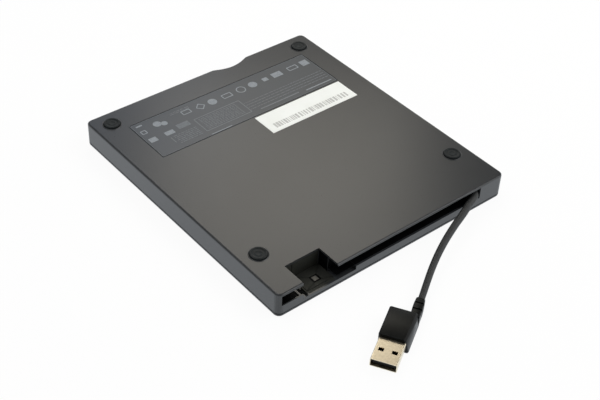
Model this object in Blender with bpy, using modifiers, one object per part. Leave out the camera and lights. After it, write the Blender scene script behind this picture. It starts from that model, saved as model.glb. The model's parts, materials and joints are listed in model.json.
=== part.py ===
# External slim DVD drive, lying on its top cover with its feet up.
# Metres, +Z up. The cover's outer face is at z = 0, the tray comes out towards -Y,
# the plug pocket and the cord are at the +Y back edge.

import math

import bmesh
import bpy
from mathutils import Matrix, Vector

mm = 0.001

# Fits shared by all pieces
gap = 0.3 * mm
cut_over = 2.0 * mm
weld_distance = 0.001 * mm
crease_angle = math.radians(40.0)
moulded_crease_angle = math.radians(25.0)
curve_steps = 24
small_steps = 16
hub_steps = 30
foot_steps = 32
small_disc_steps = 48
disc_steps = 64
corner_steps = 5
edge_steps = 3

# The disc that the tray holds sets the drive's size, and the housing goes round the drive
disc_radius = 60.2 * mm
disc_side_margin = 3.8 * mm
disc_front_margin = 1.75 * mm
disc_rear_overrun = 2.25 * mm
unit_side_space = 8.5 * mm
unit_rear_inset = 30.0 * mm

# Housing as a whole
case_corner = 3.0 * mm

# Bottom case, the half that carries the feet
case_wall = 1.5 * mm
case_plate = 1.2 * mm
case_edge_round = 0.9 * mm
channel_wall = 1.2 * mm
slot_lip_wall = 0.6 * mm
rib_wall = 1.0 * mm

# Top cover
lid_edge = 2.0 * mm
lid_plate = 1.6 * mm
lid_round = 1.3 * mm
lid_margin = 2.6 * mm
lid_ring_wall = 1.0 * mm
lid_ring_height = 2.0 * mm
lid_rib_wall = 1.4 * mm
lid_rib_height = 1.1 * mm
lid_rib_inset = 14.0 * mm
lid_rib_count = 4

# Finger notch in the front edge, beside the middle
notch_centre = -20.0 * mm
notch_width = 25.6 * mm
notch_depth = 3.6 * mm
notch_steps = 18
notch_softness_share = 1.2

# Rubber feet
foot_radius = 4.4 * mm
foot_recess_depth = 0.8 * mm
foot_proud = 1.0 * mm
foot_round = 0.5 * mm
foot_round_share = 0.3
foot_dish_radius = 2.9 * mm
foot_dish_depth = 0.25 * mm
foot_side_inset = 10.0 * mm
foot_front_inset = 9.8 * mm
foot_back_inset = 27.2 * mm

# Rating panel and label
panel_width = 31.7 * mm
panel_left_inset = 15.5 * mm
panel_right_inset = 13.7 * mm
panel_front_inset = 16.7 * mm
panel_thickness = 0.3 * mm
label_length = 57.8 * mm
label_width = 16.0 * mm
label_side_inset = 0.8 * mm
label_panel_space = 1.0 * mm
label_thickness = 0.2 * mm
label_proud = 0.05 * mm
inlay_side_gap = 0.15 * mm

# Plug pocket, shell slot and cord channel in the back edge
pocket_side_inset = 14.5 * mm
pocket_length = 20.5 * mm
pocket_width = 13.9 * mm
pocket_depth = 8.5 * mm
pocket_wall = 1.5 * mm
slot_length = 12.3 * mm
slot_depth = 6.9 * mm
slot_lip_depth = 5.8 * mm
slot_side_inset = 0.9 * mm
guide_rib_height = 0.8 * mm
guide_rib_pitch = 2.5 * mm
guide_rib_count = 2
boot_zone_length = 11.5 * mm
boot_zone_width = 7.2 * mm
channel_side_inset = 16.5 * mm
channel_width = 6.1 * mm
channel_depth = 6.4 * mm
catch_window = 3.8 * mm
catch_block = 2.9 * mm
catch_corner = 0.45 * mm
catch_drop = 0.35 * mm
catch_from_left = 13.2 * mm
catch_from_wall = 6.6 * mm

# Drive unit: sheet steel pan and cover
sheet = 0.6 * mm
cover_sheet = 0.5 * mm
ear_length = 5.6 * mm
ear_width = 6.0 * mm
ear_drop = 3.0 * mm
ear_front_inset = 18.0 * mm
ear_rear_inset = 12.0 * mm
ear_boss_radius = 2.3 * mm
screw_head_radius = 1.7 * mm
screw_head_height = 0.9 * mm
screw_shank_radius = 0.6 * mm
screw_length = 2.4 * mm
latch_post_radius = 1.2 * mm
latch_post_reach = 4.2 * mm
latch_post_side = 10.8 * mm
latch_post_front = 25.0 * mm

# Bezel, its button and its light
bezel_depth = 4.6 * mm
bezel_front_wall = 1.7 * mm
bezel_rim = 1.3 * mm
bezel_round = 0.6 * mm
bezel_edge_round = 0.35 * mm
bezel_block_margin = 1.4 * mm
button_width = 12.4 * mm
button_height = 3.2 * mm
button_lift = 0.2 * mm
button_proud = 0.4 * mm
button_flange = 0.8 * mm
button_flange_depth = 0.7 * mm
button_web = 2.9 * mm
button_stem_width = 4.0 * mm
button_stem_height = 1.1 * mm
button_stem_length = 3.0 * mm
button_travel = 0.8 * mm
button_round = 0.4 * mm
light_offset = 17.5 * mm
light_radius = 0.75 * mm
eject_hole_offset = 24.0 * mm
eject_hole_radius = 0.65 * mm

# Disc tray
small_disc_radius = 40.3 * mm
small_disc_step = 0.4 * mm
disc_depth = 1.4 * mm
tray_side_gap = 0.8 * mm
tray_deck = 2.6 * mm
tray_rear_inset = 5.7 * mm
tray_skirt = 1.2 * mm
tray_cover_play = 0.15 * mm
tray_skirt_inset = 3.9 * mm
tray_head_gap = 0.4 * mm
tray_notch_radius = 11.0 * mm
tray_cover_sheet = 0.4 * mm
tray_cover_inset = 2.0 * mm
tray_rib_wall = 0.9 * mm
tray_rib_drop = 0.7 * mm

# Slide rails on each side: channel, rail and tongue nested in one another
guide_web = 0.5 * mm
guide_flange = 2.2 * mm
guide_lip = 0.4 * mm
rail_web = 0.4 * mm
rail_flange = 2.1 * mm
rail_lip = 0.4 * mm
tongue_height = 1.2 * mm
tongue_drop = 2.4 * mm
rail_front_inset = 10.0 * mm
rail_rear_inset = 6.0 * mm

# Traverse: frame, spindle, rods and pickup, turned about the spindle
traverse_angle = math.radians(45.0)
frame_sheet = 1.1 * mm
frame_half_width = 17.0 * mm
frame_rear = 15.5 * mm
frame_side_space = 0.6 * mm
frame_end_space = 3.1 * mm
frame_chamfer = 5.0 * mm
rotor_radius = 10.8 * mm
rotor_height = 1.8 * mm
turntable_radius = 11.8 * mm
turntable_height = 1.2 * mm
turntable_lift = 0.3 * mm
hub_radius = 7.4 * mm
hub_top_radius = 6.3 * mm
hub_height = 1.1 * mm
hub_slot = 1.6 * mm
hub_slot_count = 3
hub_slot_depth = 2.4 * mm
spindle_shaft_radius = 1.0 * mm
spindle_shaft_length = 1.6 * mm
ring_inner = 8.4 * mm
ring_outer = 10.9 * mm
ring_height = 0.4 * mm
ring_seat_depth = 0.6 * mm
motor_base_half = 12.2 * mm
motor_base_sheet = 0.6 * mm
motor_boss_radius = 2.6 * mm
motor_boss_height = 1.2 * mm
rod_radius = 1.0 * mm
rod_lift = 0.95 * mm
rod_play = 0.1 * mm
main_rod_x = -13.2 * mm
support_rod_x = 11.0 * mm
rod_tab_width = 3.2 * mm
rod_tab_length = 1.6 * mm
rod_tab_share = 0.4
screw_x = 15.2 * mm
lead_screw_radius = 0.8 * mm
lead_screw_pitch = 3.0 * mm
lead_groove_depth = 0.2 * mm
lead_screw_steps = 8
sled_motor_radius = 1.5 * mm
sled_motor_length = 11.0 * mm
sled_inner = 22.5 * mm
sled_half_length = 6.5 * mm
sled_body_drop = 2.25 * mm
sled_clearance = 0.2 * mm
sled_raised_half_width = 10.5 * mm
sled_raised_half_length = 6.0 * mm
sled_raised_height = 1.6 * mm
sled_side = 2.0 * mm
holder_half_width = 5.6 * mm
holder_half_length = 3.9 * mm
holder_height = 1.3 * mm
holder_pocket_floor = 0.5 * mm
lens_radius = 2.0 * mm
lens_edge = 0.5 * mm
lens_dome = 0.5 * mm
lens_seat = 0.3 * mm
shroud_sheet = 0.4 * mm
shroud_half_width = 14.0 * mm
shroud_setback = 5.3 * mm
shroud_slot_half_width = 6.6 * mm
shroud_slot_end = 1.8 * mm
shroud_steps = 16
damper_radius = 2.1 * mm
damper_neck = 1.0 * mm
damper_bore = 0.5 * mm
damper_x = 14.2 * mm
damper_rear_y = 12.6 * mm
damper_front_edge = 2.4 * mm

# Boards, chips, latch and the flat cable
board_thickness = 0.8 * mm
board_side_inset = 9.0 * mm
board_rear_inset = 2.0 * mm
board_wing_space = 9.7 * mm
board_wing_reach = 6.6 * mm
board_bar_space = 3.4 * mm
chip_height = 1.0 * mm
servo_chip_size = 14.0 * mm
servo_chip_x = -12.0 * mm
servo_chip_rear_inset = 12.5 * mm
driver_chip_size = 9.0 * mm
driver_chip_x = 24.0 * mm
driver_chip_rear_inset = 13.5 * mm
socket_length = 18.0 * mm
socket_width = 3.6 * mm
socket_x = 5.0 * mm
switch_width = 6.0 * mm
switch_depth = 3.0 * mm
switch_height = 2.6 * mm
latch_arm = 12.5 * mm
latch_side = 4.2 * mm
latch_release = math.radians(16.0)
latch_width = 2.4 * mm
latch_height = 1.2 * mm
latch_hook = 2.2 * mm
latch_pivot_radius = 2.0 * mm
latch_bore_radius = 1.0 * mm
latch_pin_radius = 0.7 * mm
solenoid_length = 10.0 * mm
solenoid_width = 7.0 * mm
solenoid_height = 3.0 * mm
solenoid_space = 3.6 * mm
flex_width = 14.0 * mm
flex_sheet = 0.3 * mm
flex_clearance = 0.4 * mm
flex_length = 76.0 * mm
flex_x = 14.0 * mm
bridge_length = 74.0 * mm
bridge_width = 12.6 * mm
bridge_sheet = 1.0 * mm
bridge_centre_x = -5.0 * mm
bridge_depth = 6.7 * mm
bridge_behind_unit = 1.2 * mm
bridge_chip_size = 7.0 * mm
bridge_chip_x = -24.0 * mm
bridge_boss_radius = 2.2 * mm
bridge_boss_bore = 0.8 * mm
bridge_boss_inset = 4.5 * mm
connector_length = 33.0 * mm
connector_height = 3.4 * mm
connector_depth = 8.0 * mm
connector_front_reach = 3.0 * mm
connector_key = 1.2 * mm

# Cord, gland and plug
cord_radius = 1.5 * mm
cord_step_share = 5.0
inner_cord_step_share = 3.0
sleeve_radius = 1.75 * mm
gland_back_inset = 3.75 * mm
gland_lift = 3.0 * mm
gland_neck_radius = 2.1 * mm
gland_flange_reach = 3.0 * mm
gland_flange_length = 1.5 * mm
gland_hole_radius = 2.4 * mm
plug_reach_x = 101.4 * mm
plug_reach_y = 49.5 * mm
plug_angle = math.radians(31.0)
plug_length = 20.3 * mm
plug_width = 14.2 * mm
plug_height = 7.8 * mm
plug_corner = 0.9 * mm
plug_round = 0.6 * mm
plug_nose_length = 1.6 * mm
plug_nose_inset = 0.5 * mm
boot_length = 10.0 * mm
boot_width = 5.8 * mm
boot_tip_width = 5.0 * mm
boot_height = 5.6 * mm
boot_groove = 0.8 * mm
boot_groove_depth = 0.6 * mm
boot_groove_pitch = 3.4 * mm
boot_groove_count = 2
shell_width = 12.0 * mm
shell_height = 4.5 * mm
shell_wall = 0.35 * mm
shell_length = 12.4 * mm
shell_round = 0.5 * mm
shell_hole_length = 2.0 * mm
shell_hole_width = 2.5 * mm
shell_hole_spacing = 6.2 * mm
shell_hole_from_tip = 7.0 * mm
tongue_length = 11.0 * mm
tongue_thickness = 1.8 * mm
tongue_side_gap = 0.3 * mm

# Routes from the gland's mouth: the bent sleeve, then the free cord to the plug's boot
sleeve_route = [
    (-0.3 * mm, 0.0, 0.0),
    (1.8 * mm, 0.7 * mm, 0.0),
    (4.2 * mm, 2.2 * mm, 0.0),
    (7.4 * mm, 4.3 * mm, -0.1 * mm),
    (11.0 * mm, 6.3 * mm, -0.2 * mm),
]
cord_route = [
    (11.0 * mm, 6.3 * mm, -0.2 * mm),
    (15.5 * mm, 8.3 * mm, -0.3 * mm),
    (26.7 * mm, 12.3 * mm, -0.8 * mm),
    (37.3 * mm, 16.8 * mm, -1.5 * mm),
    (47.1 * mm, 21.5 * mm, -2.4 * mm),
    (55.9 * mm, 26.4 * mm, -3.4 * mm),
    (64.1 * mm, 31.5 * mm, -4.5 * mm),
    (69.2 * mm, 34.9 * mm, -5.2 * mm),
]

# The cord's end inside the case, from the gland and then up to the bridge board's boss
inner_route_from_gland = [
    (-3.9 * mm, 0.0, 0.0),
    (-6.9 * mm, -0.3 * mm, 0.0),
    (-10.2 * mm, -2.9 * mm, -0.1 * mm),
    (-10.4 * mm, -8.1 * mm, -0.2 * mm),
]
inner_route_to_boss = [
    (-18.5 * mm, 0.85 * mm, -0.4 * mm),
    (-11.5 * mm, 0.05 * mm, -0.4 * mm),
    (-2.7 * mm, -0.15 * mm, -0.4 * mm),
]

# Places worked out from the sizes above
unit_half = disc_radius + disc_side_margin
half_width = unit_half + unit_side_space
tray_length = disc_front_margin + 2 * disc_radius - disc_rear_overrun
half_length = (bezel_depth + gap + tray_length + tray_rear_inset + unit_rear_inset) / 2
front_y = -half_length
back_y = half_length
inner_x = half_width - case_wall

case_low = lid_edge + gap
cover_low = lid_plate + lid_rib_height + gap
cover_high = cover_low + cover_sheet
tray_low = cover_high + tray_head_gap
tray_high = tray_low + tray_deck
frame_low = tray_high + gap
frame_high = frame_low + frame_sheet
sled_low = frame_high + sled_clearance
sled_high = sled_low + sled_body_drop
tray_cover_low = sled_high + tray_cover_play
skirt_high = tray_cover_low - gap
flex_low = tray_cover_low + tray_cover_sheet + flex_clearance
pan_inner = flex_low + flex_sheet + gap
pan_high = pan_inner + sheet
plate_inner = pan_high + gap
case_height = plate_inner + case_plate

foot_x = half_width - foot_side_inset
foot_front_y = front_y + foot_front_inset
foot_back_y = back_y - foot_back_inset

pocket_floor = plate_inner - pocket_depth
slot_floor = plate_inner - slot_depth
slot_lip = plate_inner - slot_lip_depth
channel_floor = plate_inner - channel_depth
pocket_left_x = half_width - pocket_side_inset
pocket_right_x = pocket_left_x - pocket_length
pocket_y = back_y - pocket_width
slot_end_x = pocket_left_x + slot_length
slot_y = pocket_y + slot_side_inset
boot_zone_x = pocket_right_x - boot_zone_length
boot_zone_y = back_y - boot_zone_width
channel_x = channel_side_inset - half_width
channel_y = back_y - channel_width
gland_wall_x = channel_x - case_wall
gland_y = back_y - gland_back_inset
gland_z = channel_floor + gland_lift

bezel_back = front_y + bezel_depth
unit_front = bezel_back + 1.5 * gap
unit_rear = back_y - unit_rear_inset
ear_z = pan_inner - ear_drop
ear_front_y = unit_front + ear_front_inset
ear_rear_y = unit_rear - ear_rear_inset

bezel_half = unit_half
bezel_low = case_low
bezel_high = plate_inner - 2 * gap
button_centre_z = tray_high - button_lift
notch_floor = button_centre_z + button_height / 2 + button_flange + gap

tray_front = bezel_back + gap
tray_half = unit_half - sheet - tray_side_gap
tray_rear = unit_rear - tray_rear_inset
disc_y = tray_front + disc_front_margin + disc_radius
disc_z = tray_low + disc_depth
skirt_outer = tray_half - tray_skirt_inset
diagonal = math.sqrt(2.0)
frame_corner = (frame_half_width + frame_rear) / diagonal
frame_front = ((skirt_outer - tray_skirt - frame_side_space) * diagonal
               - frame_half_width + frame_chamfer)
shroud_front = frame_front - shroud_setback
sled_stroke = (frame_front - frame_end_space - rod_tab_length - gap - sled_half_length
               - sled_inner)

guide_outer = unit_half - sheet - gap
rail_outer = guide_outer - guide_web - gap
tongue_outer = rail_outer - rail_web - gap
tongue_middle_z = tray_high + tongue_drop
tongue_low = tongue_middle_z - tongue_height / 2
tongue_high = tongue_middle_z + tongue_height / 2
rail_front = tray_front + rail_front_inset
rail_rear = unit_rear - rail_rear_inset

turntable_low = disc_z - turntable_lift
rod_z = frame_high + rod_lift
shroud_low = tray_high - shroud_sheet - gap
sled_raised_low = sled_low - sled_raised_height
holder_low = sled_raised_low - gap

board_high = tray_cover_low - gap
board_low = board_high - board_thickness
chip_high = board_low - gap

latch_post_x = -(unit_half - latch_post_side)
latch_post_y = unit_front + latch_post_front
bridge_y = unit_rear + bridge_behind_unit
bridge_z = plate_inner - bridge_depth
bridge_high = bridge_z + bridge_sheet
plug_middle_z = plug_height / 2
plug_x = channel_x + plug_reach_x
plug_y = gland_y + plug_reach_y


# Scene and collections

def clear_scene():
    for old in list(bpy.data.objects):
        bpy.data.objects.remove(old, do_unlink=True)


def make_collection(name):
    collection = bpy.data.collections.new(name)
    bpy.context.scene.collection.children.link(collection)
    return collection


clear_scene()
drive_parts = make_collection("external_dvd_drive")
cutters = make_collection("cutters")


# Materials

def material(name, colour, roughness, metallic=0.0):
    found = bpy.data.materials.get(name)
    if found:
        return found
    made = bpy.data.materials.new(name)
    made.use_nodes = True
    made.diffuse_color = (*colour, 1.0)
    shader = made.node_tree.nodes["Principled BSDF"]
    shader.inputs["Base Color"].default_value = (*colour, 1.0)
    shader.inputs["Roughness"].default_value = roughness
    shader.inputs["Metallic"].default_value = metallic
    return made


case_plastic = material("case_plastic", (0.115, 0.115, 0.11), 0.42)
lid_plastic = material("lid_plastic", (0.012, 0.014, 0.017), 0.3)
bezel_plastic = material("bezel_plastic", (0.02, 0.022, 0.025), 0.35)
foot_rubber = material("foot_rubber", (0.02, 0.022, 0.022), 0.6)
panel_film = material("panel_film", (0.085, 0.092, 0.097), 0.4)
label_paper = material("label_paper", (0.86, 0.86, 0.84), 0.6)
catch_plastic = material("catch_plastic", (0.5, 0.5, 0.48), 0.5)
lever_plastic = material("lever_plastic", (0.5, 0.5, 0.48), 0.5)
pan_steel = material("pan_steel", (0.5, 0.5, 0.49), 0.35, 1.0)
bright_steel = material("bright_steel", (0.58, 0.58, 0.57), 0.25, 1.0)
tray_plastic = material("tray_plastic", (0.03, 0.031, 0.033), 0.5)
board_laminate = material("board_laminate", (0.02, 0.09, 0.04), 0.5)
chip_epoxy = material("chip_epoxy", (0.015, 0.015, 0.016), 0.45)
flex_film = material("flex_film", (0.55, 0.42, 0.2), 0.4)
connector_nylon = material("connector_nylon", (0.02, 0.02, 0.02), 0.5)
sled_alloy = material("sled_alloy", (0.42, 0.42, 0.43), 0.45, 1.0)
shroud_alloy = material("shroud_alloy", (0.42, 0.42, 0.43), 0.4, 1.0)
holder_plastic = material("holder_plastic", (0.025, 0.025, 0.025), 0.5)
lens_glass = material("lens_glass", (0.25, 0.3, 0.45), 0.05)
light_plastic = material("light_plastic", (0.55, 0.65, 0.5), 0.2)
cord_rubber = material("cord_rubber", (0.045, 0.05, 0.05), 0.5)
plug_rubber = material("plug_rubber", (0.012, 0.013, 0.012), 0.5)
shell_nickel = material("shell_nickel", (0.62, 0.55, 0.42), 0.25, 1.0)
coil_wire = material("coil_wire", (0.45, 0.2, 0.08), 0.4, 1.0)


# Object helpers

def add_object(name, data, finish=None, parent=None):
    made = bpy.data.objects.new(name, data)
    if finish:
        data.materials.append(finish)
        drive_parts.objects.link(made)
    else:
        cutters.objects.link(made)
        made.hide_render = True
        made.display_type = "WIRE"
    made.parent = parent
    return made


def mesh_object(name, bm, finish=None, parent=None, smooth_angle=None):
    mesh = bpy.data.meshes.new(name)
    bm.to_mesh(mesh)
    bm.free()
    if smooth_angle:
        mesh.shade_smooth()
        mesh.set_sharp_from_angle(angle=smooth_angle)
    return add_object(name, mesh, finish, parent)


def empty(name, place, turn=0.0, parent=None):
    made = bpy.data.objects.new(name, None)
    drive_parts.objects.link(made)
    made.location = place
    made.rotation_euler = (0.0, 0.0, turn)
    made.parent = parent
    return made


def set_origin(item, place):
    # The mesh keeps its place in the world while its origin goes to the joint's axis.
    item.data.transform(Matrix.Translation(item.location - Vector(place)))
    item.location = Vector(place)
    return item


def block_mesh(x, y, z):
    bm = bmesh.new()
    bmesh.ops.create_cube(bm, size=1.0)
    size = Matrix.Diagonal((x[1] - x[0], y[1] - y[0], z[1] - z[0], 1.0))
    centre = Vector(((x[0] + x[1]) / 2, (y[0] + y[1]) / 2, (z[0] + z[1]) / 2))
    bmesh.ops.transform(bm, matrix=Matrix.Translation(centre) @ size, verts=bm.verts)
    return bm


def block(name, x, y, z, finish=None, parent=None):
    return mesh_object(name, block_mesh(x, y, z), finish, parent)


def rounded_block(name, x, y, z, corner, top=0.0, bottom=0.0, finish=None, parent=None):
    bm = block_mesh(x, y, z)
    upright = [e for e in bm.edges if abs(e.verts[0].co.z - e.verts[1].co.z) > (z[1] - z[0]) / 2]
    bmesh.ops.bevel(bm, geom=upright, offset=corner, segments=corner_steps, profile=0.5,
                    affect="EDGES")
    for level, radius in ((z[1], top), (z[0], bottom)):
        if radius > 0.0:
            near = (z[1] - z[0]) / 4
            rim = [e for e in bm.edges if all(abs(v.co.z - level) < near for v in e.verts)
                   and any(len(f.verts) > 4 for f in e.link_faces)]
            bmesh.ops.bevel(bm, geom=rim, offset=radius, segments=edge_steps, profile=0.5,
                            affect="EDGES")
    return mesh_object(name, bm, finish, parent, moulded_crease_angle)


def cylinder(name, centre, radius, reach, axis="Z", steps=curve_steps, finish=None, parent=None):
    # reach is the low and high end along the axis; centre gives the other two places.
    length = reach[1] - reach[0]
    middle = (reach[0] + reach[1]) / 2
    bm = bmesh.new()
    bmesh.ops.create_cone(bm, cap_ends=True, segments=steps, radius1=radius, radius2=radius,
                          depth=length)
    turns = {"Z": Matrix.Identity(4), "X": Matrix.Rotation(math.pi / 2, 4, "Y"),
             "Y": Matrix.Rotation(math.pi / 2, 4, "X")}
    places = {"Z": (centre[0], centre[1], middle), "X": (middle, centre[0], centre[1]),
              "Y": (centre[0], middle, centre[1])}
    bmesh.ops.transform(bm, matrix=Matrix.Translation(places[axis]) @ turns[axis], verts=bm.verts)
    return mesh_object(name, bm, finish, parent, crease_angle)


def turned(name, profile, place, steps=curve_steps, finish=None, parent=None):
    # profile holds (radius, z) points that run down the outer side.
    mesh = bpy.data.meshes.new(name)
    points = [(radius, 0.0, height) for radius, height in profile]
    mesh.from_pydata(points, [(i, i + 1) for i in range(len(points) - 1)], [])
    made = add_object(name, mesh, finish, parent)
    made.location = place
    screw = made.modifiers.new("Turn", "SCREW")
    screw.steps = steps
    screw.render_steps = steps
    screw.use_merge_vertices = True
    screw.merge_threshold = weld_distance
    screw.use_smooth_shade = False
    return made


def curve_to_mesh(item, finish=None):
    view = bpy.context.evaluated_depsgraph_get()
    mesh = bpy.data.meshes.new_from_object(item.evaluated_get(view))
    bm = bmesh.new()
    bm.from_mesh(mesh)
    bmesh.ops.remove_doubles(bm, verts=bm.verts, dist=weld_distance)
    bmesh.ops.recalc_face_normals(bm, faces=bm.faces)
    bm.to_mesh(mesh)
    bm.free()
    name = item.name
    place = item.matrix_world.copy()
    parent = item.parent
    bpy.data.objects.remove(item, do_unlink=True)
    mesh.materials.clear()
    made = add_object(name, mesh, finish, parent)
    if parent:
        made.matrix_basis = parent.matrix_world.inverted() @ place
    else:
        made.matrix_world = place
    return made


def outline_solid(name, points, z, finish=None, parent=None):
    curve = bpy.data.curves.new(name, "CURVE")
    curve.dimensions = "2D"
    curve.fill_mode = "BOTH"
    curve.extrude = (z[1] - z[0]) / 2
    line = curve.splines.new("POLY")
    line.points.add(len(points) - 1)
    for point, place in zip(line.points, points):
        point.co = (place[0], place[1], 0.0, 1.0)
    line.use_cyclic_u = True
    item = bpy.data.objects.new(name, curve)
    cutters.objects.link(item)
    item.location = (0.0, 0.0, (z[0] + z[1]) / 2)
    item.parent = parent
    bpy.context.view_layer.update()
    return curve_to_mesh(item, finish)


def smooth_points(route, spacing):
    # A Catmull-Rom curve through the route, read at even steps.
    places = [Vector(p) for p in route]
    ends = [places[0] * 2 - places[1]] + places + [places[-1] * 2 - places[-2]]
    fine = []
    for a, b, c, d in zip(ends, ends[1:], ends[2:], ends[3:]):
        for step in range(20):
            t = step / 20
            fine.append((b * 2 + (c - a) * t + (a * 2 - b * 5 + c * 4 - d) * t ** 2
                         + (b * 3 - a - c * 3 + d) * t ** 3) / 2)
    fine.append(places[-1])
    lengths = [0.0]
    for a, b in zip(fine, fine[1:]):
        lengths.append(lengths[-1] + (b - a).length)
    count = max(2, round(lengths[-1] / spacing))
    points = []
    index = 0
    for k in range(count + 1):
        wanted = lengths[-1] * k / count
        while index < len(fine) - 2 and lengths[index + 1] < wanted:
            index += 1
        share = (wanted - lengths[index]) / (lengths[index + 1] - lengths[index])
        points.append(fine[index].lerp(fine[index + 1], share))
    return points


def tube(name, points, radius, finish=None, end_share=1.0):
    # end_share tapers the tube to that share of its radius at the last point.
    curve = bpy.data.curves.new(name, "CURVE")
    curve.dimensions = "3D"
    curve.bevel_depth = radius
    curve.bevel_resolution = 2
    curve.use_fill_caps = True
    line = curve.splines.new("POLY")
    line.points.add(len(points) - 1)
    for i, (point, place) in enumerate(zip(line.points, points)):
        point.co = (*place, 1.0)
        point.radius = 1.0 + (end_share - 1.0) * i / (len(points) - 1)
    return add_object(name, curve, finish)


def cut(target, *tools):
    for tool in tools:
        step = target.modifiers.new("Cut " + tool.name, "BOOLEAN")
        step.operation = "DIFFERENCE"
        step.object = tool


def join(target, *tools):
    for tool in tools:
        step = target.modifiers.new("Join " + tool.name, "BOOLEAN")
        step.operation = "UNION"
        step.object = tool


def around(centre, size):
    return (centre - size / 2, centre + size / 2)


def both_sides(low, high, side):
    return (low, high) if side > 0 else (-high, -low)


# Finger notch outline, shared by the case and the bezel

def notch_outline(grow=0.0):
    half = notch_width / 2 + grow
    points = []
    for i in range(notch_steps + 1):
        t = 2 * i / notch_steps - 1
        depth = (notch_depth + grow) * (1 - t * t) ** notch_softness_share
        points.append((notch_centre + half * t, front_y + depth))
    points.append((notch_centre + half, front_y - cut_over))
    points.append((notch_centre - half, front_y - cut_over))
    return points


# Bottom case with its walls, pocket, slot, channel and bosses

def bottom_case():
    case = rounded_block("bottom_case", (-half_width, half_width), (front_y, back_y),
                         (case_low, case_height), case_corner, top=case_edge_round,
                         finish=case_plastic)
    below = case_low - cut_over
    above = case_height + cut_over
    behind = back_y + cut_over
    pocket_inner = pocket_y - pocket_wall
    channel_inner = channel_y - channel_wall
    wall_inner = back_y - case_wall
    pocket_block_x = (boot_zone_x - case_wall, pocket_left_x + case_wall)

    cut(case,
        block("main_bay", (-inner_x, inner_x), (front_y + case_wall, pocket_inner),
              (below, plate_inner)),
        block("channel_bay", (-inner_x, pocket_right_x - pocket_wall),
              (pocket_inner - cut_over, boot_zone_y - channel_wall), (below, plate_inner)),
        block("under_channel", (-inner_x, pocket_block_x[0]), (channel_inner - cut_over, wall_inner),
              (below, channel_floor - channel_wall)),
        block("under_slot", (pocket_block_x[1], inner_x), (pocket_inner - cut_over, wall_inner),
              (below, slot_floor - channel_wall)),
        block("gland_bay", (-inner_x, gland_wall_x), (channel_inner - cut_over, wall_inner),
              (below, plate_inner)),
        block("bezel_mouth", (-bezel_half - gap, bezel_half + gap),
              (front_y - cut_over, front_y + case_wall + cut_over),
              (below, bezel_high + gap)),
        block("plug_pocket", (pocket_right_x, pocket_left_x), (pocket_y, behind),
              (pocket_floor, above)),
        block("shell_slot", (pocket_left_x - cut_over, slot_end_x), (slot_y, back_y - slot_lip_wall),
              (slot_floor, plate_inner)),
        block("shell_mouth", (pocket_left_x - cut_over, slot_end_x), (slot_y, behind),
              (slot_lip, plate_inner)),
        block("boot_zone", (boot_zone_x, pocket_right_x + cut_over), (boot_zone_y, behind),
              (pocket_floor, plate_inner)),
        block("cord_channel", (channel_x, boot_zone_x + cut_over), (channel_y, behind),
              (channel_floor, plate_inner)),
        cylinder("gland_hole", (gland_y, gland_z), gland_hole_radius,
                 (gland_wall_x - cut_over, channel_x + cut_over), "X"),
        block("catch_window", around(catch_x(), catch_window), around(catch_y(), catch_window),
              (below, pocket_floor + cut_over)),
        outline_solid("notch_cut", notch_outline(), (notch_floor, above)))

    for i in range(guide_rib_count):
        rib_x = pocket_left_x + rib_wall + i * guide_rib_pitch
        join(case, block(f"slot_rib_{i + 1}", around(rib_x, rib_wall),
                         (slot_y - rib_wall, back_y - slot_lip_wall / 2),
                         (slot_floor - channel_wall / 2, slot_floor + guide_rib_height)))

    for number, (x, y) in enumerate(foot_places(), 1):
        cut(case, cylinder(f"foot_recess_{number}", (x, y), foot_radius + gap,
                           (case_height - foot_recess_depth, above), steps=foot_steps))
    for number, (x, y) in enumerate(ear_places(), 1):
        boss_low = ear_z + sheet + gap
        join(case, cylinder(f"ear_boss_{number}", (x, y), ear_boss_radius,
                            (boss_low, plate_inner + case_plate / 2), steps=small_steps))
        cut(case, cylinder(f"ear_bore_{number}", (x, y), screw_shank_radius + gap,
                           (boss_low - cut_over, boss_low + screw_length), steps=small_steps))
    for number, (x, boss_y) in enumerate(bridge_boss_places(), 1):
        join(case, cylinder(f"bridge_boss_{number}", (x, boss_y), bridge_boss_radius,
                            (bridge_high + gap, plate_inner + case_plate / 2), steps=small_steps))
        cut(case, cylinder(f"bridge_bore_{number}", (x, boss_y), bridge_boss_bore,
                           (bridge_high, plate_inner), steps=small_steps))
    panel_x, panel_y = panel_reach()
    cut(case, block("panel_recess", widen(panel_x), widen(panel_y),
                    (case_height - panel_thickness - gap, above)))
    label_x, label_y = label_reach()
    cut(case, block("label_recess", widen(label_x), widen(label_y),
                    (case_height - label_thickness + label_proud - gap, above)))
    return case


def widen(reach):
    return (reach[0] - inlay_side_gap, reach[1] + inlay_side_gap)


def catch_x():
    return pocket_left_x - catch_from_left


def catch_y():
    return pocket_y + catch_from_wall


def foot_places():
    return [(foot_x, foot_front_y), (-foot_x, foot_front_y), (-foot_x, foot_back_y),
            (foot_x, foot_back_y)]


def ear_places():
    x = unit_half + ear_length - ear_boss_radius
    return [(x, ear_front_y), (-x, ear_front_y), (-x, ear_rear_y), (x, ear_rear_y)]


def bridge_boss_places():
    reach = bridge_length / 2 - bridge_boss_inset
    y = bridge_y + bridge_width - bridge_boss_inset
    return [(bridge_centre_x - reach, y), (bridge_centre_x + reach, y)]


def panel_reach():
    y = front_y + panel_front_inset
    return (panel_right_inset - half_width, half_width - panel_left_inset), (y, y + panel_width)


def label_reach():
    x = panel_reach()[0][0] + label_side_inset
    y = panel_reach()[1][1] + label_panel_space
    return (x, x + label_length), (y, y + label_width)


# Top cover: plate, edge, locating ring and the ribs that the drive unit rests on

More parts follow.
